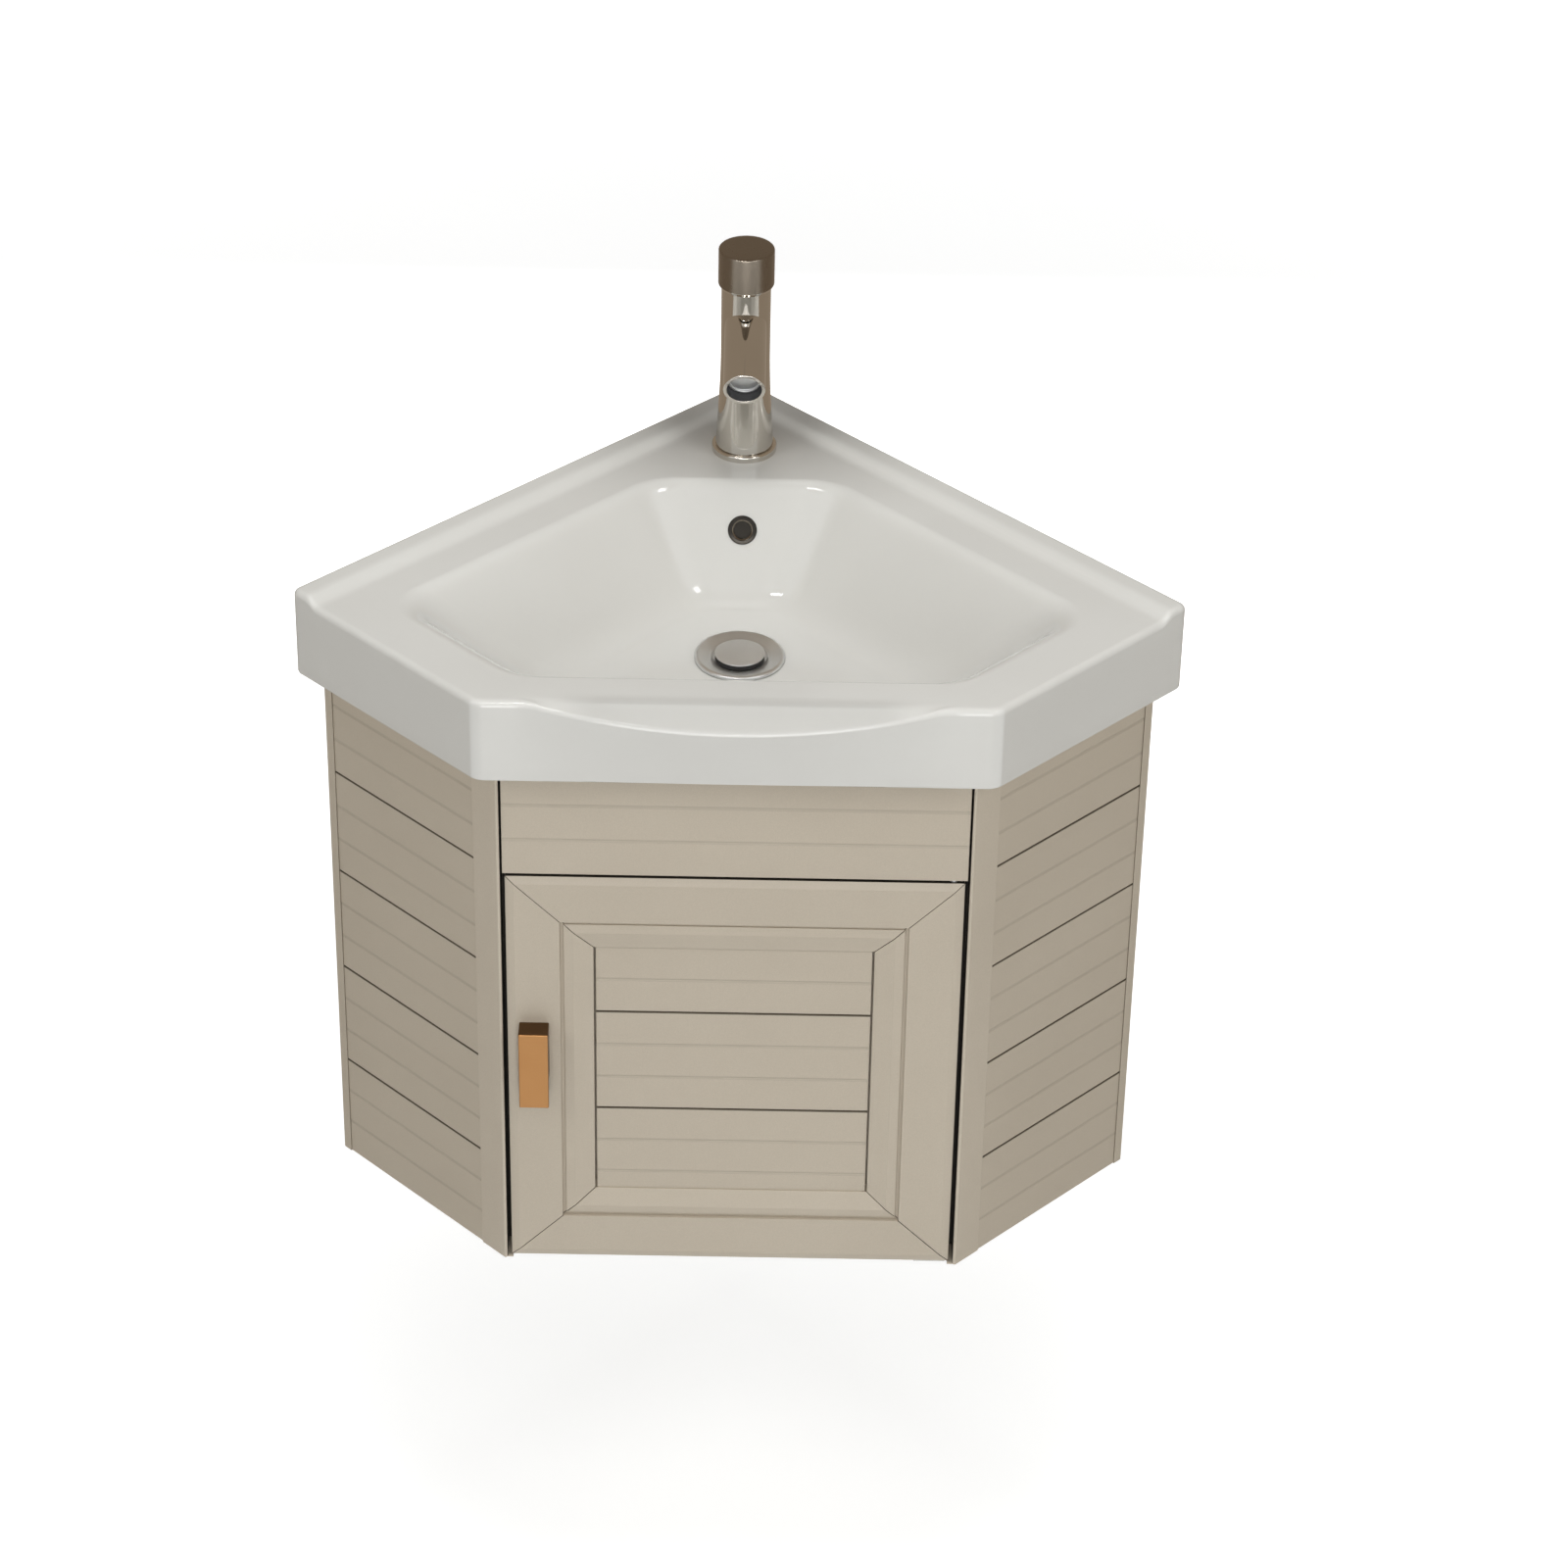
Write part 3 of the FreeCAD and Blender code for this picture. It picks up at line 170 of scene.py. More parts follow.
material, tree, out = blank("studio_floor")
matt = node(tree, "ShaderNodeBsdfDiffuse", {"Color": (0.8, 0.8, 0.79, 1)})
spot = node(tree, "ShaderNodeTexCoord").outputs["Object"]
distance = node(tree, "ShaderNodeVectorMath", {0: spot}, operation="LENGTH").outputs["Value"]
fill = node(tree, "ShaderNodeMapRange", {"Value": distance, "From Min": NEAR, "From Max": FAR,
                                         "To Min": GLOW_NEAR, "To Max": GLOW_FAR}).outputs[0]
glow = node(tree, "ShaderNodeEmission", {"Color": WHITE, "Strength": fill})
lit = node(tree, "ShaderNodeAddShader", {0: matt.outputs[0], 1: glow.outputs[0]})
shown = node(tree, "ShaderNodeMixShader", {0: seen_rays(tree), 1: matt.outputs[0], 2: lit.outputs[0]})
tree.links.new(shown.outputs[0], out.inputs["Surface"])
ground = Matrix.Translation(GROUND_PLACE) @ Matrix.Diagonal((GROUND_SIDE, GROUND_SIDE, 1, 1))
floor = flat_square("floor", ground, material)
print("floor", [round(v, 2) for v in floor.dimensions])

# %% [markdown]
# ## Lamps
# Soft light comes from large lamps in front, above, at the sides and, for the open back, from behind. Most
# of them would show in the glaze as milky patches, so they are kept out of reflections. Only the low front
# lamp is left in, because it gives each broken edge its pale line. A few small lamps that reflections alone
# see give the tight glints on glaze and chrome.

# %% Lamps
def softbox(name, place, target, width, height, power, matt=True, glossy=False):
    """A lamp at place that faces target and lights matt surfaces, glossy reflections, or both."""
    lamp = bpy.data.lights.new(name, "AREA")
    lamp.shape, lamp.size, lamp.size_y, lamp.energy = "RECTANGLE", width, height, power
    holder = bpy.data.objects.new(name, lamp)
    aim = (Vector(target) - Vector(place)).to_track_quat("-Z", "Y").to_matrix().to_4x4()
    holder.matrix_world = Matrix.Translation(place) @ aim
    holder.visible_diffuse, holder.visible_glossy = matt, glossy
    scene.collection.objects.link(holder)


def glint(name, place, target, width, height, power):
    """A small lamp that only reflections see."""
    softbox(name, place, target, width, height, power, matt=False, glossy=True)


softbox("key_box", (0, -1.9, 2.2), (0, -0.3, 0.35), 1.0, 1.0, 6)
softbox("front_box", (0, -3.0, 0.7), (0, -0.3, 0.3), 1.4, 1.4, 20, glossy=True)
softbox("top_box", (0, -0.5, 2.5), (0, -0.3, 0.4), 1.0, 1.0, 25)
softbox("left_box", (-2.0, -1.6, 1.7), (0, -0.3, 0.3), 1.4, 1.4, 17)
softbox("right_box", (2.0, -1.6, 1.7), (0, -0.3, 0.3), 1.4, 1.4, 22)
softbox("back_box", (0, 1.8, 0.42), (0, -0.2, 0.3), 1.4, 0.8, 18)
glint("left_glint", (-0.40, -1.05, 1.7), (-0.05, -0.45, 0.5), 0.65, 0.07, 4)
glint("right_glint", (0.75, -1.0, 1.6), (0.05, -0.45, 0.5), 0.25, 0.25, 2)
glint("low_glint", (1.1, -1.33, -0.17), (0.2, -0.44, 0.48), 0.12, 0.12, 0.5)
print("lamps", len(bpy.data.lights))

# %% [markdown]
# ## Cards
# Chrome in an all-white room looks like plaster. The room where such a unit hangs has darker walls and a
# ceiling, so three brown cards stand in for them, seen by reflections alone. Behind a tap in a corner less
# light arrives than on the open deck, so a small flag over the tap keeps some of the light from above off
# it. A narrow second flag does the same over the scoop, whose slope would take light from every lamp.

# %% Brown cards and flags
WALL_BROWN, CEILING_BROWN, BLACK = (0.34, 0.275, 0.21), (0.28, 0.235, 0.19), (0, 0, 0)
WALL_CARD, CEILING_CARD, TAP_FLAG, SCOOP_FLAG = (0.85, 1.4), (1.6, 2.3), (0.18, 0.165), (0.22, 0.018)


def card(name, matrix, size, tint, shade=False):
    """A flat card that only reflections see; with shade it only throws a shadow."""
    material, tree, out = blank(name)
    glow = node(tree, "ShaderNodeEmission", {"Color": (*tint, 1), "Strength": 1.0})
    tree.links.new(glow.outputs[0], out.inputs["Surface"])
    made = flat_square(name, matrix @ Matrix.Diagonal((*size, 1, 1)), material)
    made.visible_camera = made.visible_diffuse = made.visible_transmission = False
    made.visible_glossy, made.visible_shadow = not shade, shade
    print(name, [round(v, 2) for v in made.dimensions])


upright = Matrix.Rotation(math.radians(90), 4, "X")
for side, name in ((-1, "left_wall"), (1, "right_wall")):
    along_wall = Matrix.Rotation(math.radians(-45 * side), 4, "Z")
    behind = Matrix.Translation((side * 0.27, -0.23, 0.40))
    card(name, behind @ along_wall @ upright, WALL_CARD, WALL_BROWN)
card("ceiling", Matrix.Translation((0, -0.35, 1.75)), CEILING_CARD, CEILING_BROWN)
card("tap_flag", Matrix.Translation((0, -0.085, 0.71)), TAP_FLAG, BLACK, shade=True)
card("scoop_flag", Matrix.Translation((0, -0.4645, 0.56)), SCOOP_FLAG, BLACK, shade=True)

# %% [markdown]
# ## Finishes: glaze
# The basin is white glaze over fired clay: very smooth, with a mirror-like skin over a body that is not
# quite even in tone, and with a faint orange-peel wave. A noise a hand wide tints the white, a finer one
# varies the gloss, and a shallow bump bends the highlights a little.

# %% Glaze
GLAZE_DARK, GLAZE_LIGHT = (0.63, 0.62, 0.585), (0.69, 0.685, 0.65)
TINT_SCALE, GLOSS_SCALE, WAVE_SCALE = 7.0, 40.0, 55.0


def glaze():
    """White glaze: drifting tone, uneven gloss and a faint wave under a clear coat."""
    material, tree, out = blank("white_glaze")
    place = node(tree, "ShaderNodeTexCoord").outputs["Object"]
    tint = tones(tree, noise(tree, place, TINT_SCALE), GLAZE_DARK, GLAZE_LIGHT)
    gloss = spread(tree, noise(tree, place, GLOSS_SCALE), 0.07, 0.16)
    wave = node(tree, "ShaderNodeBump", {"Height": noise(tree, place, WAVE_SCALE, 1.0), "Strength": 0.05,
                                         "Distance": 0.002})
    skin = node(tree, "ShaderNodeBsdfPrincipled", {
        "Base Color": tint, "Roughness": gloss, "Normal": wave.outputs[0], "Coat Weight": 0.35,
        "Coat Roughness": 0.05})
    tree.links.new(skin.outputs[0], out.inputs["Surface"])
    return material


white_glaze = glaze()
print("made", white_glaze.name)

# %% [markdown]
# ## Finishes: metals
# Tap and waste are chromed brass: polished on the column, satin round the drain and black round the
# overflow, where the trim's closed floor is painted shade for the hole. The polished chrome is tinted
# grey-brown as a painted reflection of a brown room, and the cap's chrome and the ring inside the overflow
# trim are darkened further as a painted dark reflection. The door pull is brushed brass, with its top and
# sides darkened as painted shade, and hidden hardware is plain steel, brass or mill aluminium. All are the
# same idea: a metal whose gloss varies in fine streaks.
# Stretching a noise along one axis makes brush marks, and leaving it even makes a polished skin.

# %% Metals
EVEN, BRUSHED_UP, BRUSHED_ACROSS = (1, 1, 1), (1, 1, 0.03), (0.05, 1, 1)
DRAWN_UP, DRAWN_FLAT, LATHE_RINGS = (1, 1, 0.2), (0.04, 0.04, 1), (1, 1, 12)


def metal(name, colours, rough, streak, grain, relief):
    """A metal: two colours, roughness pair, the noise's stretch on each axis, its scale and its bump."""
    material, tree, out = blank(name)
    place = node(tree, "ShaderNodeTexCoord").outputs["Object"]
    drawn = node(tree, "ShaderNodeMapping", {"Vector": place, "Scale": streak}).outputs[0]
    marks = noise(tree, drawn, grain, 4.0)
    lift = node(tree, "ShaderNodeBump", {"Height": marks, "Strength": relief, "Distance": 0.0002})
    skin = node(tree, "ShaderNodeBsdfPrincipled", {
        "Base Color": tones(tree, noise(tree, place, 30.0), *colours), "Metallic": 1.0,
        "Roughness": spread(tree, marks, *rough), "Normal": lift.outputs[0]})
    tree.links.new(skin.outputs[0], out.inputs["Surface"])
    return material


# The polished chrome is tinted grey-brown as a painted reflection of a brown room.
chrome = metal("polished_chrome", ((0.60, 0.57, 0.52), (0.66, 0.63, 0.58)), rough=(0.03, 0.08), streak=EVEN,
               grain=300.0, relief=0.01)
satin_chrome = metal("satin_chrome", ((0.69, 0.70, 0.70), (0.76, 0.77, 0.77)), rough=(0.32, 0.44),
                     streak=EVEN, grain=500.0, relief=0.04)
# The cap and the ring inside the overflow trim take this darkened chrome as a painted dark reflection.
painted_reflection_chrome = metal("painted_reflection_chrome", ((0.25, 0.215, 0.175), (0.30, 0.26, 0.215)), rough=(0.24, 0.34),
                      streak=DRAWN_UP, grain=300.0, relief=0.02)
# This black finish also closes the trim's floor, as painted shade for the overflow hole.
black_chrome_hole_shade = metal("black_chrome_hole_shade", ((0.030, 0.027, 0.023), (0.055, 0.05, 0.043)), rough=(0.1, 0.25),
                     streak=EVEN, grain=300.0, relief=0.04)
brushed_brass = metal("brushed_brass", ((0.315, 0.155, 0.059), (0.37, 0.195, 0.079)), rough=(0.28, 0.42),
                      streak=BRUSHED_UP, grain=1800.0, relief=0.12)
# Brass darkened as painted shade, for the pull's top and sides.
painted_shade_brass = metal("painted_shade_brass", ((0.10, 0.055, 0.024), (0.16, 0.09, 0.042)), rough=(0.35, 0.5),
                    streak=EVEN, grain=900.0, relief=0.15)
turned_brass = metal("turned_brass", ((0.62, 0.45, 0.20), (0.70, 0.52, 0.26)), rough=(0.2, 0.35),
                     streak=LATHE_RINGS, grain=400.0, relief=0.1)
steel = metal("brushed_steel", ((0.52, 0.52, 0.52), (0.60, 0.60, 0.60)), rough=(0.25, 0.4),
              streak=BRUSHED_ACROSS, grain=900.0, relief=0.1)
mill_aluminium = metal("mill_aluminium", ((0.60, 0.60, 0.60), (0.68, 0.68, 0.68)), rough=(0.32, 0.48),
                       streak=DRAWN_FLAT, grain=700.0, relief=0.12)
print("made", [m.name for m in (chrome, satin_chrome, painted_reflection_chrome, black_chrome_hole_shade, brushed_brass)])

# %% [markdown]
# ## Finishes: powder coat
# The cabinet's profiles carry a taupe powder coat: satin, with a fine skin like orange peel, a slight
# sparkle, and patches that are a touch lighter where the powder lay thicker. Three noises of very
# different size give the patches, the speckle and the skin. Moulded plastic and rubber are made by the
# same steps, and the white plastic has less speckle and peel, because its mould was smooth.

# %% Powder coat
PATCH_SCALE, SPECKLE_SCALE, PEEL_SCALE, SHEEN_SCALE = 9.0, 1600.0, 900.0, 120.0


def coat(name, dark, light, rough, grain=0.1, relief=0.18):
    """A coat or moulded skin: two tones, roughness pair, strength of the speckle and of the peel."""
    material, tree, out = blank(name)
    place = node(tree, "ShaderNodeTexCoord").outputs["Object"]
    patches = tones(tree, noise(tree, place, PATCH_SCALE), dark, light)
    speckle = spread(tree, noise(tree, place, SPECKLE_SCALE, 1.0), 1 - grain, 1 + grain)
    tone = node(tree, "ShaderNodeMix", {"Factor": 1.0, "A": patches, "B": speckle}, data_type="RGBA",
                blend_type="MULTIPLY")
    peel = node(tree, "ShaderNodeBump", {"Height": noise(tree, place, PEEL_SCALE, 2.0), "Strength": relief,
                                         "Distance": 0.0003})
    sheen = spread(tree, noise(tree, place, SHEEN_SCALE), *rough)
    skin = node(tree, "ShaderNodeBsdfPrincipled", {
        "Base Color": tone.outputs["Result"], "Roughness": sheen, "Normal": peel.outputs[0]})
    tree.links.new(skin.outputs[0], out.inputs["Surface"])
    return material


taupe_coat = coat("taupe_coat", (0.485, 0.423, 0.335), (0.537, 0.473, 0.379), (0.36, 0.5))
cabinet_floor = coat("cabinet_floor", (0.52, 0.48, 0.40), (0.58, 0.54, 0.46), (0.5, 0.65))
white_plastic = coat("moulded_white", (0.70, 0.70, 0.68), (0.76, 0.76, 0.74), (0.28, 0.31), grain=0.03,
                     relief=0.05)
dark_plastic = coat("moulded_black", (0.025, 0.025, 0.027), (0.045, 0.045, 0.047), (0.4, 0.55))
black_rubber = coat("black_rubber", (0.018, 0.018, 0.018), (0.03, 0.03, 0.03), (0.65, 0.8))
print("made", [m.name for m in (taupe_coat, cabinet_floor, white_plastic, dark_plastic, black_rubber)])

# %% [markdown]
# ## From bmesh to piece
# Each new piece is drawn in a bmesh, which is Blender's editable mesh. To become part of the unit it needs
# its faces turned outwards, smooth shading that stops at real edges, a finish, the body it moves with,
# and the solid that it stands for. One helper does all of that. Some pieces carry other finishes on a few
# of their faces, such as a black seal, so the helper can be given those with a test for their faces.

# %% Piece helper
def piece(name, bm, body, nodes, finish, crease=35, accents=()):
    """Turns a bmesh into a piece of the unit that stands for the named solids.

    An accent is another finish and a test, by middle and normal, for the faces that take it.
    """
    bmesh.ops.remove_doubles(bm, verts=bm.verts, dist=1e-6)
    bmesh.ops.recalc_face_normals(bm, faces=bm.faces)
    for face in bm.faces:
        face.smooth = True
        hits = [test(face.calc_center_median(), face.normal) for _, test in accents]
        face.material_index = hits.index(True) + 1 if any(hits) else 0
    for edge in bm.edges:
        edge.smooth = len(edge.link_faces) == 2 and edge.calc_face_angle() < math.radians(crease)
    mesh = bpy.data.meshes.new(name)
    bm.to_mesh(mesh)
    bm.free()
    for coating in [finish] + [other for other, _ in accents]:
        mesh.materials.append(coating)
    made = bpy.data.objects.new(name, mesh)
    scene.collection.objects.link(made)
    fair = made.modifiers.new("fair_normals", "WEIGHTED_NORMAL")
    fair.keep_sharp = True
    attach(made, body)
    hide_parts(*nodes)
    print(name, len(mesh.polygons), "faces")


# %% [markdown]
# ## The basin's plan
# Seen from above the basin is a square pushed into the corner, with its front corner cut off. Its bowl is
# the same figure with the rear corner cut off too. Both are best drawn as a few corner points, whose
# corners are then rounded by bevelling the points of one flat face. What is kept is the loop of edges.

# %% Plan loops
WALL_SIDE, FRONT, RIM_Z, DECK_Z, FLOOR_Z = 0.450, 0.456, 0.445, 0.510, 0.430
ROOT2 = math.sqrt(2)
basin = bmesh.new()


def at_wall(along, off):
    """A plan point so far along the right wall and so far off it."""
    return Vector(((along - off) / ROOT2, -(along + off) / ROOT2))


def plan(wall, side, front, back=None):
    """The basin's plan drawn in from walls, sides and front; with back, its rear corner is cut off too."""
    reach = WALL_SIDE - side
    right = [at_wall(reach, wall), at_wall(reach, ROOT2 * (FRONT - front) - reach)]
    rear = [at_wall(wall, wall)]
    if back is not None:
        right.insert(0, at_wall(ROOT2 * back - wall, wall))
        rear = []
    return rear + right + [Vector((-p.x, p.y)) for p in reversed(right)]


def loop(corners, radii, steps=14):
    """A closed flat loop of edges with rounded corners."""
    known = set(basin.faces)
    verts = [basin.verts.new((c.x, c.y, 0)) for c in corners]
    basin.faces.new(verts)
    for i, radius in enumerate(radii):
        before, after = corners[i - 1] - corners[i], corners[(i + 1) % len(corners)] - corners[i]
        reach = radius / math.tan(before.angle(after) / 2)
        bmesh.ops.bevel(basin, geom=[verts[i]], offset=reach, offset_type="OFFSET", affect="VERTICES",
                        segments=steps, profile=0.5, material=-1)
    face = next(f for f in basin.faces if f not in known)
    edges = face.edges[:]
    bmesh.ops.delete(basin, geom=[face], context="FACES_ONLY")
    return edges


def circle(radius, count, matrix):
    """A round loop of edges."""
    made = bmesh.ops.create_circle(basin, cap_ends=False, radius=radius, segments=count, matrix=matrix)
    return list({e for v in made["verts"] for e in v.link_edges})


print("plan corners", [tuple(round(v, 3) for v in p) for p in plan(0, 0, 0)])

# %% [markdown]
# ## Stacking loops
# A glazed body has no hard sections, so it is built as a stack of loops that are bridged in order. Loops
# that lie almost in one plane can twist as they are bridged. So the stack is first pulled far apart,
# bridged, and then each loop is set down at its real height.

# %% Bridge a stack
FAR_APART = 0.3


def set_height(edges, z):
    """Puts all points of a loop at one height."""
    for vert in {v for e in edges for v in e.verts}:
        vert.co.z = z


def bridge_stack(stack):
    """Bridges a stack of (loop, height) pairs in order."""
    for i, (edges, _) in enumerate(stack):
        set_height(edges, FAR_APART * i)
    for (low, _), (high, _) in zip(stack, stack[1:]):
        bmesh.ops.bridge_loops(basin, edges=low + high)
    for edges, z in stack:
        set_height(edges, z)
    print("bridged", len(stack), "loops,", len(basin.faces), "faces so far")


# %% [markdown]
# ## The basin's apron
# The outside runs from the pocket under the deck, round the rim that rests on the cabinet, up the apron
# and over its soft upper edge. A box with bevelled edges would do for a plain sink, but this edge later
# rises to a lip along the walls and swells at the front, so it needs loops of its own.

# %% Apron
EDGE, POCKET_Z, LAND, RIM_BREAK = 0.005, 0.498, 0.0020, 0.0006
CORNER_RADII, SHARPEST = (0.003, 0.006, 0.014, 0.014, 0.006), 0.0008
POCKET_MARGINS, POCKET_RADIUS = (0.020, 0.042, 0.042), 0.010
WALL_STOPS = (0.035, 0.2, 0.4, 0.6, 0.8, 1.0)


def outer(inset):
    """One loop of the outside, drawn in all round."""
    return loop(plan(inset, inset, inset), [max(radius - inset, SHARPEST) for radius in CORNER_RADII])


def pocket_loop():
    """One loop of the pocket under the deck."""
    return loop(plan(*POCKET_MARGINS), [POCKET_RADIUS] * len(CORNER_RADII))


turns = [math.radians(15 * i) for i in range(1, 7)]
apron = [(pocket_loop(), POCKET_Z), (pocket_loop(), RIM_Z), (outer(LAND), RIM_Z)]
apron += [(outer(RIM_BREAK), RIM_Z + RIM_BREAK)]
apron += [(outer(0), RIM_Z + (DECK_Z - EDGE - RIM_Z) * stop) for stop in WALL_STOPS]
apron += [(outer(EDGE * (1 - math.cos(a))), DECK_Z - EDGE * (1 - math.sin(a))) for a in turns]
bridge_stack(apron)

# %% [markdown]
# ## The bowl
# The bowl falls in flat walls with wide soft corners to a floor round the waste. Sculpting it would give
# lumps that glaze shows at once. Loops that shrink from the mouth to the floor, with a rounded start and
# end to the fall, stay fair from every side. The same stack carries on through the waste hole and back up
# outside the bowl, a wall's thickness larger. Mouth and bed are margins from wall, side, front and back.

# %% Bowl
MOUTH, BED = (0.058, 0.046, 0.037, 0.147), (0.112, 0.121, 0.077, 0.190)
MOUTH_RADII, BED_RADII = (0.045, 0.030, 0.050), (0.030, 0.030, 0.030)
MOUTH_BEND, FALL_STOPS = ((-0.11, 0.0), (0.0, 0.0), (0.10, 0.10)), (0.2625, 0.5375)
BED_BEND = ((0.78, 0.78), (1.0, 1.0), (1.24, 1.01))
WASTE = Vector((0, -0.264, 0))
SEAT, HOLE, BOSS, BOSS_Z, HULL_Z, BOWL_WALL = 0.0345, 0.023, 0.038, 0.412, 0.4215, 0.009


def bowl_loop(inward, grow=0.0):
    """One loop of the bowl: inward is 0 at the mouth and 1 at the floor's edge."""
    margins = [m + (b - m) * inward - grow for m, b in zip(MOUTH, BED)]
    share = min(max(inward, 0), 1)
    back, tip, fore = [m + (b - m) * share + grow for m, b in zip(MOUTH_RADII, BED_RADII)]
    return loop(plan(*margins), [back, tip, fore, fore, tip, back])


def bend(start, middle, end, steps):
    """Points along a soft bend between two straight runs."""
    return [tuple((1 - t) ** 2 * a + 2 * t * (1 - t) * b + t * t * c for a, b, c in zip(start, middle, end))
            for t in (i / steps for i in range(steps + 1))]


fall = bend(*MOUTH_BEND, 16) + [(stop, stop) for stop in FALL_STOPS] + bend(*BED_BEND, 8)
bowl = [(bowl_loop(inward), DECK_Z - (DECK_Z - FLOOR_Z) * drop) for inward, drop in fall]
count = len(bowl[0][0])
hole = [(SEAT, FLOOR_Z - 0.0008), (HOLE + 0.001, FLOOR_Z - 0.0009), (HOLE, FLOOR_Z - 0.002), (HOLE, BOSS_Z),
        (BOSS, BOSS_Z), (BOSS, HULL_Z)]
well = [(circle(radius, count, Matrix.Translation(WASTE)), z) for radius, z in hole]
outside = ((1.12, HULL_Z), (0.97, HULL_Z + 0.003), (0.80, HULL_Z + 0.0155), (0.08, POCKET_Z))
hull = [(bowl_loop(inward, BOWL_WALL), z) for inward, z in outside]
bridge_stack(bowl + well + hull)
bmesh.ops.triangle_fill(basin, use_beauty=True, edges=apron[-1][0] + bowl[0][0], normal=(0, 0, 1))
bmesh.ops.triangle_fill(basin, use_beauty=True, edges=apron[0][0] + hull[-1][0], normal=(0, 0, -1))
bmesh.ops.recalc_face_normals(basin, faces=basin.faces)
print("open edges", sum(e.is_boundary for e in basin.edges))

# %% [markdown]
# ## Overflow hole
# High in the bowl's back wall a small hole lets water out before it can spill. One face of the wall is cut
# down to a square and opened, its edge is bridged to a circle that is first held far off the wall, and
# then the circle is set down and pushed in for depth.

# %% Overflow
OVERFLOW_RADIUS, OVERFLOW_DEPTH, PATCH_HALF = 0.0078, 0.0085, 0.0115
overflow = Vector((0, -0.1642, DECK_Z - 0.032))
outward = Vector((0, -0.080, 0.043)).normalized()
facing = outward.to_track_quat("Z", "Y").to_matrix().to_4x4()


def slice_at(place, normal, near):
    """Cuts the faces that have a point in the wanted region along a plane."""
    faces = [f for f in basin.faces if any(near(v.co) for v in f.verts)]
    geometry = faces + list({e for f in faces for e in f.edges}) + list({v for f in faces for v in f.verts})
    bmesh.ops.bisect_plane(basin, geom=geometry, dist=1e-7, plane_co=place, plane_no=normal)


def wall_face():
    """The face of the bowl's back wall that holds the overflow's centre."""
    return min((f for f in basin.faces if f.normal.dot(outward) > 0.99),
               key=lambda f: (f.calc_center_median() - overflow).length)


def points_in(geometry):
    """The points among what an operator made."""
    return [g for g in geometry if isinstance(g, bmesh.types.BMVert)]


corners = [v.co.copy() for v in wall_face().verts]
for x in (-PATCH_HALF, PATCH_HALF):
    slice_at((x, 0, 0), (1, 0, 0), lambda p: any((p - c).length < 1e-6 for c in corners))
patch = wall_face()
patch_edges = patch.edges[:]
bmesh.ops.delete(basin, geom=[patch], context="FACES_ONLY")
bmesh.ops.subdivide_edges(basin, edges=patch_edges, cuts=5)
border = [e for e in basin.edges if e.is_boundary]
rim = circle(OVERFLOW_RADIUS, len(border), Matrix.Translation(overflow + outward * FAR_APART) @ facing)
bmesh.ops.bridge_loops(basin, edges=border + rim)
bmesh.ops.translate(basin, verts=list({v for e in rim for v in e.verts}), vec=-outward * FAR_APART)
pushed = bmesh.ops.extrude_edge_only(basin, edges=rim)["geom"]
bmesh.ops.translate(basin, verts=points_in(pushed), vec=-outward * OVERFLOW_DEPTH)
bmesh.ops.holes_fill(basin, edges=[g for g in pushed if isinstance(g, bmesh.types.BMEdge)], sides=0)
print("overflow border", len(border), "open edges", sum(e.is_boundary for e in basin.edges))

# %% [markdown]
# ## Lip and scoop
# Along both walls the deck rises 5 mm to a lip. At the front the edge swells forward in a flat bow, and
# the deck tips down to it. Slicing the faces first gives the points that these shapes need, and moving
# the points by their distance from the wall or from the middle then makes both shapes without a seam.

# %% Raise the lip and swell the scoop
LIP, LIP_FOOT, LIP_RUN, LIP_START, LIP_RISE = 0.005, 0.027, 0.012, 0.480, 0.025
LIP_LINES = (0.012, 0.015, 0.018, 0.021, 0.024, 0.027, 0.030)
SCOOP_HALF, SCOOP, SLOPE, SCOOP_STEP, SCOOP_CUTS = 0.150, 0.0164, math.atan(0.75), 0.006, 26
TIP_RUN, SOFT_RUN, SOFT_DROP, FOOT_SHARE = 0.004, 0.006, 0.0011, 0.05
DECK_LINES = (0.0062, 0.0082, 0.0105, 0.0130)
ABOVE_RIM = RIM_Z - 0.001
TINY = 1e-6


def off_wall(point):
    """How far a point is off the nearer wall."""
    return (-point.y - abs(point.x)) / ROOT2


for side in (1, -1):
    for off in LIP_LINES:
        place = at_wall(0, off)
        slice_at((side * place.x, place.y, 0), (side, 1, 0),
                 lambda p: off_wall(p) < LIP_LINES[-1] + 0.005 and p.z > ABOVE_RIM)
for inset in DECK_LINES:
    slice_at((0, -FRONT + inset, 0), (0, 1, 0), lambda p: p.y < -FRONT + 0.014 and p.z > DECK_Z - 0.010)
for i in range(-SCOOP_CUTS, SCOOP_CUTS + 1):
    slice_at((i * SCOOP_STEP, 0, 0), (1, 0, 0), lambda p: p.y < -FRONT + 0.0125 and p.z > ABOVE_RIM)


def ease(share):
    """A smooth step from 0 to 1."""
    share = min(max(share, 0), 1)
    return share * share * (3 - 2 * share)


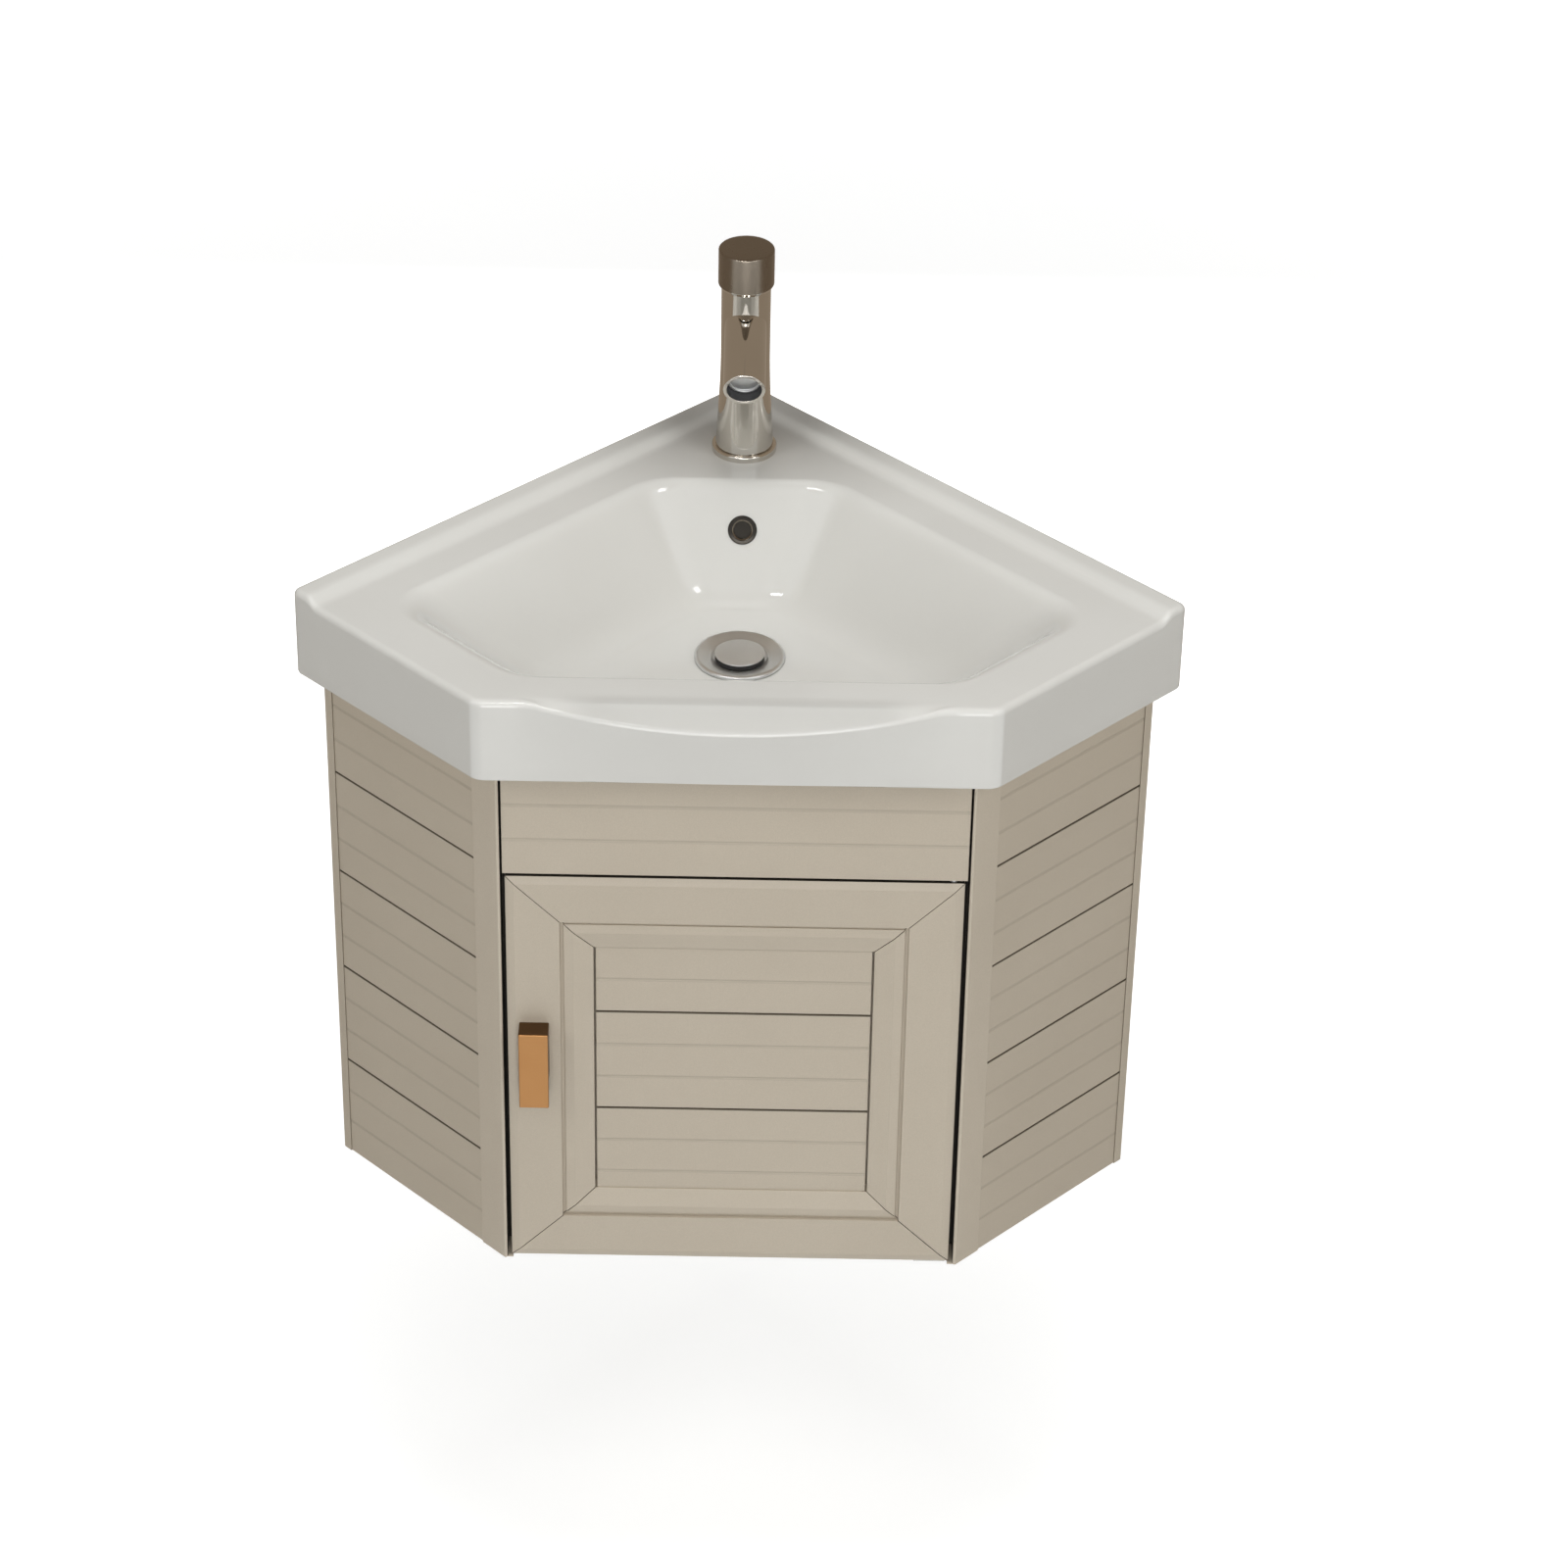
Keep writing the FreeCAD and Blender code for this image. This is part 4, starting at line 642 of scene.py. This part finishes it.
def scooped(point):
    """Where a point of the front goes when the edge swells and tips."""
    inset = point.y + FRONT
    swell = SCOOP * (1 - (point.x / SCOOP_HALF) ** 2)
    tip = SLOPE * ease(swell / TIP_RUN)
    crown_y, crown_z = -FRONT - swell, DECK_Z - swell * math.tan(tip)
    run = EDGE * math.tan((math.pi / 2 - tip) / 2)
    if point.z < DECK_Z - EDGE + TINY:
        share = (point.z - RIM_Z) / (DECK_Z - EDGE - RIM_Z)
        forward = swell * (FOOT_SHARE + (1 - FOOT_SHARE) * share)
        return point.y - forward, RIM_Z + (crown_z - run - RIM_Z) * share
    if inset < EDGE + TINY:
        bent = math.atan2(point.z - DECK_Z + EDGE, EDGE - inset) * (1 - tip / (math.pi / 2))
        return crown_y + EDGE * (1 - math.cos(bent)), crown_z - run + EDGE * math.sin(bent)
    near = (DECK_LINES[-1] - inset) / (DECK_LINES[-1] - DECK_LINES[0])
    return point.y - min(swell, EDGE), point.z - SOFT_DROP * ease(swell / SOFT_RUN) * near ** 2


for vert in basin.verts:
    point = vert.co
    if point.z > LIP_START and off_wall(point) < LIP_FOOT:
        share = min((point.z - LIP_START) / LIP_RISE, 1)
        point.z += LIP * ease((LIP_FOOT - off_wall(point)) / LIP_RUN) * share
    at_front = point.y < -FRONT + DECK_LINES[-1] + TINY and point.z > RIM_Z + 0.001
    if at_front and abs(point.x) < SCOOP_HALF:
        point.y, point.z = scooped(point)
print("basin top", round(max(v.co.z for v in basin.verts), 4))
piece("basin_body", basin, "unit", ["basin_deck", "basin_bowl"], white_glaze)

# %% [markdown]
# ## Turned pieces
# Rings, caps, pipes and the tap's body are all round. A cylinder primitive has hard rims and no hollow, so
# each is drawn as half of its section: a few points joined by edges, the corner points bevelled, and the
# whole spun once round the axis. Heights and radii come from the box of the solid where it has them. The
# first piece is the overflow's black trim. Its closed floor, deep in the bore, is painted shade for the
# hole, and its inner ring is chrome darkened as a painted dark reflection.

# %% Turning
CLEAR = 0.0001
TRIM, TRIM_CREST, TRIM_BORE, TRIM_FLOOR = 0.0108, 0.0078, 0.0070, -0.006


def add_to(bm, work):
    """Moves all of the second bmesh into the first."""
    moved = bpy.data.meshes.new("moved")
    work.to_mesh(moved)
    work.free()
    bm.from_mesh(moved)
    bpy.data.meshes.remove(moved)


def turned(bm, section, rounds=None, closed=True, steps=96, matrix=None):
    """Spins a section of (radius, height) points; rounds gives a corner radius for some points."""
    work = bmesh.new()
    verts = [work.verts.new((radius, 0, z)) for radius, z in section]
    for a, b in zip(verts, verts[1:]):
        work.edges.new((a, b))
    if closed:
        work.edges.new((verts[-1], verts[0]))
    for index, radius in (rounds or {}).items():
        bmesh.ops.bevel(work, geom=[verts[index]], offset=radius, offset_type="OFFSET", affect="VERTICES",
                        segments=5, profile=0.5, material=-1)
    bmesh.ops.spin(work, geom=work.verts[:] + work.edges[:], cent=(0, 0, 0), axis=(0, 0, 1), dvec=(0, 0, 0),
                   angle=2 * math.pi, steps=steps, use_merge=True)
    bmesh.ops.remove_doubles(work, verts=work.verts, dist=1e-6)
    bmesh.ops.transform(work, matrix=matrix or Matrix(), verts=work.verts)
    add_to(bm, work)


def span(name):
    """The lowest and highest point of an upright round solid, and its radius."""
    low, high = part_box(name)
    return low[2], high[2], high[0]


in_wall = Matrix.Translation(overflow) @ facing


def on_inner_ring(middle, normal):
    """Whether a face is on the ring inside the trim that is darkened as a painted dark reflection."""
    local = in_wall.inverted() @ middle
    return local.z > -0.0008 and math.hypot(local.x, local.y) < TRIM_CREST - 0.0002


bm = bmesh.new()
turned(bm, [(0, TRIM_FLOOR), (TRIM_BORE, TRIM_FLOOR), (TRIM_BORE, -0.001), (TRIM_BORE - 0.0004, 0.0004),
            (TRIM_CREST, 0.0013), (TRIM, 0.001), (TRIM, -0.001), (TRIM_BORE + 0.0004, -0.004),
            (TRIM_BORE + 0.0004, TRIM_FLOOR - 0.0004), (0, TRIM_FLOOR - 0.0004)],
       {3: 0.0003, 4: 0.0004, 5: 0.0008}, closed=False, steps=64, matrix=in_wall)
piece("overflow_trim", bm, "unit", ["overflow_ring"], black_chrome_hole_shade,
      accents=[(painted_reflection_chrome, on_inner_ring)])

# %% [markdown]
# ## The tap
# The tap is a chromed column that flares to its foot, with a short straight spout that slopes down to the
# bowl, a foot ring and a cap that is the handle. Column and spout are one casting, so two spun shapes
# meet in one piece. The outlet is an insert deep in the end of the spout, whose hole is lined dark as
# painted shade. The cap's chrome is darkened as a painted dark reflection, but for its lower edge, which is
# left bright as a painted highlight, and it is a piece by itself, because it moves.

# %% Tap
TAP_PLACE, SPOUT_Z, SPOUT_TILT = Vector((0, -0.097, 0)), 0.6215, math.radians(20)
SHANK, COLUMN, FLARE_TOP, SOCKET, SOCKET_DEPTH = 0.0165, 0.0182, 0.573, 0.0156, 0.017
SPOUT, SPOUT_BORE, SPOUT_ROOT, SPOUT_SEAT, SPOUT_END = 0.0155, 0.0128, 0.004, 0.060, 0.073
OUTLET, OUTLET_RIM, OUTLET_FACE = 0.01245, 0.0650, 0.0638
# The cap's lower band keeps bright chrome as a painted highlight.
CAP_BORE, HUB, HUB_FOOT, HIGHLIGHT_BAND = 0.0189, 0.0085, 0.0095, 0.0023
ring_foot, ring_top, ring_radius = span("tap_base_ring")
body_foot, body_top, flare = span("tap_body")
cap_foot, cap_top, cap_radius = span("tap_handle")
on_deck = Matrix.Translation(TAP_PLACE)
spout_way = Vector((0, -math.cos(SPOUT_TILT), -math.sin(SPOUT_TILT)))
spout_turn = spout_way.to_track_quat("Z", "Y").to_matrix().to_4x4()
spout = Matrix.Translation(TAP_PLACE + Vector((0, 0, SPOUT_Z))) @ spout_turn


def in_spout(middle, normal):
    """Whether a face lines the hole at the end of the spout."""
    local = spout.inverted() @ middle
    deep = SPOUT_SEAT - CLEAR < local.z < SPOUT_END - 0.0008
    return deep and math.hypot(local.x, local.y) < SPOUT_BORE


bm = bmesh.new()
turned(bm, [(SHANK + CLEAR, ring_foot), (ring_radius, ring_foot), (ring_radius, ring_top),
            (SHANK + CLEAR, ring_top)], {2: 0.0016}, matrix=on_deck)
piece("tap_foot_ring", bm, "unit", ["tap_base_ring"], chrome)

bm = bmesh.new()
turned(bm, [(0, body_foot), (SHANK, body_foot), (SHANK, ring_top + CLEAR), (flare, ring_top + CLEAR),
            (COLUMN, FLARE_TOP), (COLUMN, body_top), (SOCKET, body_top), (SOCKET, body_top - SOCKET_DEPTH),
            (0, body_top - SOCKET_DEPTH)],
       {3: 0.0008, 4: 0.018, 5: 0.0012}, closed=False, matrix=on_deck)
turned(bm, [(0, SPOUT_ROOT), (SPOUT, SPOUT_ROOT), (SPOUT, SPOUT_END), (SPOUT_BORE, SPOUT_END),
            (SPOUT_BORE - 0.0003, SPOUT_SEAT), (0, SPOUT_SEAT)],
       {2: 0.0009, 3: 0.0005}, closed=False, matrix=spout)
# The hole at the spout's end is lined with the dark finish as painted shade.
piece("tap_column", bm, "unit", ["tap_body"], chrome, accents=[(dark_plastic, in_spout)])

bm = bmesh.new()
turned(bm, [(0, SPOUT_SEAT + 2 * CLEAR), (OUTLET, SPOUT_SEAT + 2 * CLEAR), (OUTLET, OUTLET_RIM),
            (0.0106, OUTLET_RIM), (0.0104, OUTLET_FACE), (0, OUTLET_FACE)],
       {2: 0.0004, 3: 0.0004}, closed=False, steps=64, matrix=spout)
piece("tap_outlet", bm, "unit", ["tap_aerator"], dark_plastic,
      accents=[(satin_chrome, lambda middle, normal: (spout.inverted() @ middle).z > OUTLET_FACE - CLEAR)])

# The cap's lower edge is left in bright chrome as a painted highlight.
bm = bmesh.new()
turned(bm, [(0, cap_foot + HUB_FOOT), (HUB, cap_foot + HUB_FOOT), (HUB, cap_top - 0.0035),
            (CAP_BORE, cap_top - 0.0035), (CAP_BORE, cap_foot), (CAP_BORE + 0.0003, cap_foot),
            (cap_radius, cap_foot + HIGHLIGHT_BAND), (cap_radius, cap_top), (0, cap_top)],
       {5: 0.0002, 6: 0.0004, 7: 0.0016}, closed=False, matrix=on_deck)
# The cap's chrome is darkened as a painted dark reflection.
piece("tap_cap", bm, "tap_lever", ["tap_handle"], painted_reflection_chrome,
      accents=[(chrome, lambda middle, normal: middle.z < cap_foot + HIGHLIGHT_BAND + CLEAR)])

# %% [markdown]
# ## Waste and plug
# A dished satin flange lies on the bowl's floor, and a flat plug with a black seal closes it. Pressing the
# plug makes it rise, so it is its own piece on its own body, with its stem in the guide below.

# %% Waste
WASTE_BORE, WASTE_TUBE, STEM, GUIDE_Z, SEAL, SEAL_Z = 0.0165, 0.021, 0.004, 0.390, 0.0180, 0.4294
waste_foot, _, flange_radius = span("waste_body")
plug_foot, plug_top, plug_radius = span("waste_plug")
drain = Matrix.Translation(WASTE)


def on_seal(middle, normal):
    """Whether a face is on the plug's black seal."""
    return SEAL_Z - CLEAR < middle.z < FLOOR_Z + 0.0029


bm = bmesh.new()
turned(bm, [(WASTE_BORE, waste_foot), (WASTE_TUBE, waste_foot), (WASTE_TUBE, FLOOR_Z + CLEAR),
            (flange_radius, FLOOR_Z + CLEAR), (flange_radius, FLOOR_Z + 0.0014), (0.0316, FLOOR_Z + 0.0030),
            (0.0224, FLOOR_Z + 0.0006), (0.0196, FLOOR_Z - 0.0010), (WASTE_BORE, FLOOR_Z - 0.0012)],
       {4: 0.0006, 5: 0.0012, 6: 0.0010, 7: 0.0004}, matrix=drain)
turned(bm, [(STEM + 0.0003, GUIDE_Z), (WASTE_BORE, GUIDE_Z), (WASTE_BORE, GUIDE_Z + 0.004),
            (0.0070, GUIDE_Z + 0.006), (STEM + 0.0003, GUIDE_Z + 0.006)], {3: 0.001}, matrix=drain)
piece("waste_flange", bm, "unit", ["waste_body"], satin_chrome)

bm = bmesh.new()
turned(bm, [(0, plug_foot), (STEM, plug_foot), (STEM, SEAL_Z), (SEAL, SEAL_Z), (SEAL, FLOOR_Z + 0.0028),
            (plug_radius, FLOOR_Z + 0.0030), (plug_radius, plug_top - 0.0002), (0, plug_top)],
       {1: 0.001, 6: 0.0006}, closed=False, matrix=drain)
piece("plug_cap", bm, "plug", ["waste_plug"], satin_chrome, accents=[(black_rubber, on_seal)])

# %% [markdown]
# ## Trap
# Below the basin hang the plastic parts that nobody looks at until they leak: back nut and washer, tail
# pipe, ring nuts, a bottle trap and the outlet pipe to the wall. They are turned too, with the small steps
# and grip ribs that mouldings have. Ribs are pressed out of the nuts' sides, every other face.

# %% Trap pieces
PIPE, PIPE_BORE, BOTTLE_WALL, SHOULDER_Z, NECK, NECK_BORE = 0.016, 0.0145, 0.0025, 0.290, 0.021, 0.0163
BACK_NUT, RING_NUT, NUT_TALL, BRANCH_Z = 0.0345, 0.025, 0.014, 0.264
COLLAR_START, COLLAR_END, OUTLET_START, OUTLET_END = 0.028, 0.040, 0.030, 0.146
RIB_DEPTH, RIB_EDGE, RIB_PARTS = 0.0007, 0.0002, 48
washer_foot, washer_top, washer_radius = span("waste_washer")
back_nut_foot, back_nut_top, _ = span("waste_nut")
tail_foot, tail_top, _ = span("waste_tail")
bottle_foot, neck_top, _ = span("trap_body")
cup_foot, cup_top, bottle = span("trap_cup")
to_wall = Vector((1, 1, 0)).normalized().to_track_quat("Z", "Y").to_matrix().to_4x4()
branch = drain @ Matrix.Translation((0, 0, BRANCH_Z)) @ to_wall


def turn_of(face):
    """Which way a face lies from the axis, from -1 to 1 for a full turn."""
    return math.atan2(*face.calc_center_median().xy) / math.pi


def ribbed(bm, out_from):
    """Presses every other side face beyond a radius inwards, for finger grip."""
    sides = [f for f in bm.faces if abs(f.normal.z) < 0.1]
    sides = [f for f in sides if math.hypot(*f.calc_center_median().xy) > out_from]
    grips = [f for f in sides if int((turn_of(f) + 2) * RIB_PARTS) % 4 < 2]
    bmesh.ops.inset_region(bm, faces=grips, thickness=RIB_EDGE, depth=-RIB_DEPTH)


def ring_nut(matrix, inner, outside, low, high):
    """A ring nut with ribs, placed by matrix."""
    made = bmesh.new()
    turned(made, [(inner, low), (outside, low), (outside, high), (inner, high)], {1: 0.0012, 2: 0.0012})
    bmesh.ops.recalc_face_normals(made, faces=made.faces)
    ribbed(made, outside - 0.0005)
    bmesh.ops.transform(made, matrix=matrix, verts=made.verts)
    return made


bm = ring_nut(drain, WASTE_TUBE + CLEAR, washer_radius - CLEAR, washer_foot + CLEAR, washer_top - CLEAR)
piece("washer", bm, "unit", ["waste_washer"], black_rubber)
bm = ring_nut(drain, WASTE_TUBE + CLEAR, BACK_NUT, back_nut_foot, back_nut_top)
piece("back_nut", bm, "unit", ["waste_nut"], white_plastic)

bm = bmesh.new()
turned(bm, [(PIPE_BORE, tail_foot), (PIPE, tail_foot), (PIPE, waste_foot + CLEAR),
            (WASTE_BORE - CLEAR, waste_foot + CLEAR), (WASTE_BORE - CLEAR, tail_top), (PIPE_BORE, tail_top)],
       {1: 0.0004, 4: 0.0004}, matrix=drain)
piece("tail_pipe", bm, "unit", ["waste_tail"], white_plastic)

bm = bmesh.new()
turned(bm, [(bottle - BOTTLE_WALL, bottle_foot + CLEAR), (bottle, bottle_foot + CLEAR), (bottle, SHOULDER_Z),
            (NECK, SHOULDER_Z), (NECK, neck_top), (NECK_BORE, neck_top),
            (NECK_BORE, SHOULDER_Z - BOTTLE_WALL), (bottle - BOTTLE_WALL, SHOULDER_Z - BOTTLE_WALL)],
       {2: 0.004, 3: 0.001, 4: 0.0006}, matrix=drain)
turned(bm, [(NECK_BORE, COLLAR_START), (NECK, COLLAR_START), (NECK, COLLAR_END), (NECK_BORE, COLLAR_END)],
       {2: 0.0006}, matrix=branch)
piece("trap_bottle", bm, "unit", ["trap_body"], white_plastic)

bm = bmesh.new()
turned(bm, [(0, cup_foot), (bottle, cup_foot), (bottle, cup_top - CLEAR),
            (bottle - BOTTLE_WALL, cup_top - CLEAR), (bottle - BOTTLE_WALL, cup_foot + BOTTLE_WALL),
            (0, cup_foot + BOTTLE_WALL)],
       {1: 0.008, 2: 0.0006, 4: 0.006}, closed=False, matrix=drain)
piece("trap_base", bm, "unit", ["trap_cup"], white_plastic)

bm = ring_nut(drain, NECK_BORE, RING_NUT, neck_top + CLEAR, neck_top + NUT_TALL)
add_to(bm, ring_nut(branch, NECK_BORE, RING_NUT, COLLAR_END + CLEAR, COLLAR_END + NUT_TALL))
piece("trap_ring_nuts", bm, "unit", ["trap_nuts"], white_plastic)

bm = bmesh.new()
turned(bm, [(PIPE_BORE, OUTLET_START), (PIPE - 0.0005, OUTLET_START), (PIPE - 0.0005, COLLAR_END + NUT_TALL),
            (PIPE, COLLAR_END + NUT_TALL), (PIPE, OUTLET_END), (PIPE_BORE, OUTLET_END)],
       {4: 0.0005}, matrix=branch)
piece("outlet_tube", bm, "unit", ["trap_outlet_pipe"], white_plastic)

# %% [markdown]
# ## Door pull
# The pull is a block with a plate that hangs below it for the fingers, all brushed brass, with its top and
# sides darkened as painted shade. Its side view is drawn as one face, pushed across to the pull's width, and
# every edge but those at the door is eased so that it catches the light.

# %% Door pull
PLATE_THICK, BLOCK_TALL, PULL_EASE = 0.005, 0.045, 0.0009
low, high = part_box("door_handle")
plate_face, plate_back, block_foot = low[1], low[1] + PLATE_THICK, high[2] - BLOCK_TALL
side_view = [(high[1], high[2]), (plate_face, high[2]), (plate_face, low[2]), (plate_back, low[2]),
             (plate_back, block_foot), (high[1], block_foot)]
bm = bmesh.new()
face = bm.faces.new([bm.verts.new((low[0], y, z)) for y, z in side_view])
pulled = bmesh.ops.extrude_face_region(bm, geom=[face])["geom"]
bmesh.ops.translate(bm, verts=points_in(pulled), vec=(high[0] - low[0], 0, 0))
bmesh.ops.recalc_face_normals(bm, faces=bm.faces)
soft_edges = [e for e in bm.edges if min(v.co.y for v in e.verts) < high[1] - 0.001]
bmesh.ops.bevel(bm, geom=soft_edges, offset=PULL_EASE, offset_type="OFFSET", affect="EDGES", segments=4,
                profile=0.5, material=-1)
piece("door_pull", bm, "door", ["door_handle"], brushed_brass, crease=50,
      accents=[(painted_shade_brass, lambda middle, normal: middle.y > plate_face + 0.0012)])

# %% [markdown]
# ## Coated profiles
# Planks, posts, beads and the frame of the door are straight profiles with real grooves, steps and mitres
# in their solids. What the solids lack is the broken edge that a coated profile has, a third of a
# millimetre wide, which shows as a pale line beside each dark gap. Modelling them again would add nothing
# else, so each solid is copied, its triangles are joined to flat faces, and its hard edges are bevelled.
# The faces in the joints between planks, in the mitres and in the stiles' slots take a dark coat as painted
# shade, and the sides of the shallow grooves in the planks a slightly darker coat, also as painted shade.
# The faces in the slit round the door and the door's top take a near black coat as painted shadow, and
# the posts take a lighter copy of the coat as painted light.

# %% Break the edges
EDGE_BREAK, LIP_BREAK, HARD_EDGE, LONG_EDGE = 0.00035, 0.0008, math.radians(40), 0.2
STILE_LIP, SLIT_Y, LOWEST_JOINT = 0.421, -0.4300, 0.02
# A lighter copy of the taupe coat for the posts, as painted light.
painted_light_coat = coat("painted_light_coat", (0.515, 0.452, 0.361), (0.57, 0.504, 0.407), (0.36, 0.5))
# A slightly darker coat as painted shade on the sides of the planks' shallow grooves.
groove_shade_coat = coat("groove_shade_coat", (0.425, 0.370, 0.292), (0.470, 0.413, 0.330), (0.40, 0.55))
# A dark coat as painted shade in joints, mitres and the stiles' slots.
painted_shade_coat = coat("painted_shade_coat", (0.095, 0.078, 0.054), (0.125, 0.104, 0.074), (0.6, 0.75))
# A near black coat as painted shadow in the slit round the door and on the door's top.
painted_shadow_black = coat("painted_shadow_black", (0.022, 0.018, 0.012), (0.034, 0.028, 0.020), (0.6, 0.75))
bodies = frame["record"]["behaviour"]["bodies"]
body_of = {name: body for body, names in bodies.items() for name in names}


def hard_edges(bm):
    """The edges where two faces meet at a clear angle."""
    return [e for e in bm.edges if len(e.link_faces) == 2 and e.calc_face_angle() > HARD_EDGE]


def bevelled(bm, edges, width):
    """Breaks edges to a small bevel."""
    bmesh.ops.bevel(bm, geom=edges, offset=width, offset_type="OFFSET", affect="EDGES", segments=2,
                    profile=0.5, clamp_overlap=True, material=-1)


def sideways(point):
    """How far a point lies out along the side panel."""
    return (abs(point.x) - point.y) / ROOT2


def lips(bm):
    """A post's upright edge where the planks slide in."""
    widest = max(sideways(v.co) for v in bm.verts)
    long_edges = [e for e in hard_edges(bm) if e.calc_length() > LONG_EDGE]
    rim = [e for e in long_edges if all(sideways(v.co) > widest - 1e-4 / ROOT2 for v in e.verts)]
    return sorted(rim, key=lambda e: -abs(e.verts[0].co.x))[:1]


def in_joint(middle, normal):
    """Whether a face lies between two planks."""
    return abs(normal.z) > 0.5 and middle.z > LOWEST_JOINT


def in_groove(middle, normal):
    """Whether a face is a side of a shallow line in a plank."""
    return 0.15 < abs(normal.z) < 0.3


def at_stile(middle, normal):
    """Whether a face is the front of a stile's lip, where the planks' ends go in."""
    return normal.y < -0.5 and normal.x * middle.x < 0 and sideways(middle) > STILE_LIP


def in_slit(middle, normal):
    """Whether a face of a post looks into the slit beside the door."""
    inwards = normal.x * middle.x < -0.9 * abs(middle.x)
    return middle.y > SLIT_Y and (inwards or normal.y < -0.95)


def in_mitre(middle, normal):
    """Whether a face is the cut end of a mitred profile."""
    return abs(normal.y) < 0.1 and abs(abs(normal.x) - abs(normal.z)) < 0.2


def on_top(middle, normal):
    """Whether a face looks up."""
    return normal.z > 0.95


def coated(name):
    """A copy of a coated solid with its hard edges broken."""
    bm = bmesh.new()
    bm.from_mesh(frame["nodes"][name].data)
    bmesh.ops.remove_doubles(bm, verts=bm.verts, dist=1e-6)
    bmesh.ops.dissolve_limit(bm, angle_limit=math.radians(1), verts=bm.verts, edges=bm.edges)
    accents = []
    # Joints, mitres and the stiles' slots take painted shade, and the grooves a lighter painted shade.
    if "plank" in name or name == "fascia":
        accents = [(painted_shade_coat, in_joint), (groove_shade_coat, in_groove)]
    if name.startswith("rear_stile"):
        accents = [(painted_shade_coat, at_stile)]
    if name.startswith("door") and "plank" not in name:
        accents = [(painted_shade_coat, in_mitre)]
    if name == "door_rail_top":
        # The door's top takes the near black coat as painted shadow.
        accents += [(painted_shadow_black, on_top)]
    if name.startswith("post"):
        bevelled(bm, lips(bm), LIP_BREAK)
        # The post's faces in the slit take the near black coat as painted shadow.
        accents = [(painted_shadow_black, in_slit)]
    bevelled(bm, hard_edges(bm), EDGE_BREAK)
    # The posts take the lighter copy of the coat as painted light.
    finish = painted_light_coat if name.startswith("post") else taupe_coat
    piece("coated_" + name, bm, body_of[name], [name], finish, crease=9, accents=accents)


for entry in frame["record"]["subparts"]:
    if entry["material_slot"] == "taupe_aluminium":
        coated(entry["node"])

# %% [markdown]
# ## Solids that stay
# Rails, blocks, fasteners and the inner parts of the tap are hidden or plain, so they keep their solids,
# and each one takes the finish that its slot in the record asks for.

# %% Finishes for the solids
finishes = {"ceramic_white": white_glaze, "chrome": chrome, "dark_plastic": dark_plastic,
            "white_plastic": white_plastic, "brass": turned_brass, "steel": steel, "rubber": black_rubber,
            "taupe_aluminium": taupe_coat, "plain_aluminium": mill_aluminium, "floor_board": cabinet_floor,
            "brass_pull": brushed_brass}
for entry in frame["record"]["subparts"]:
    solid = frame["nodes"][entry["node"]]
    solid.data.materials.clear()
    solid.data.materials.append(finishes[entry["material_slot"]])
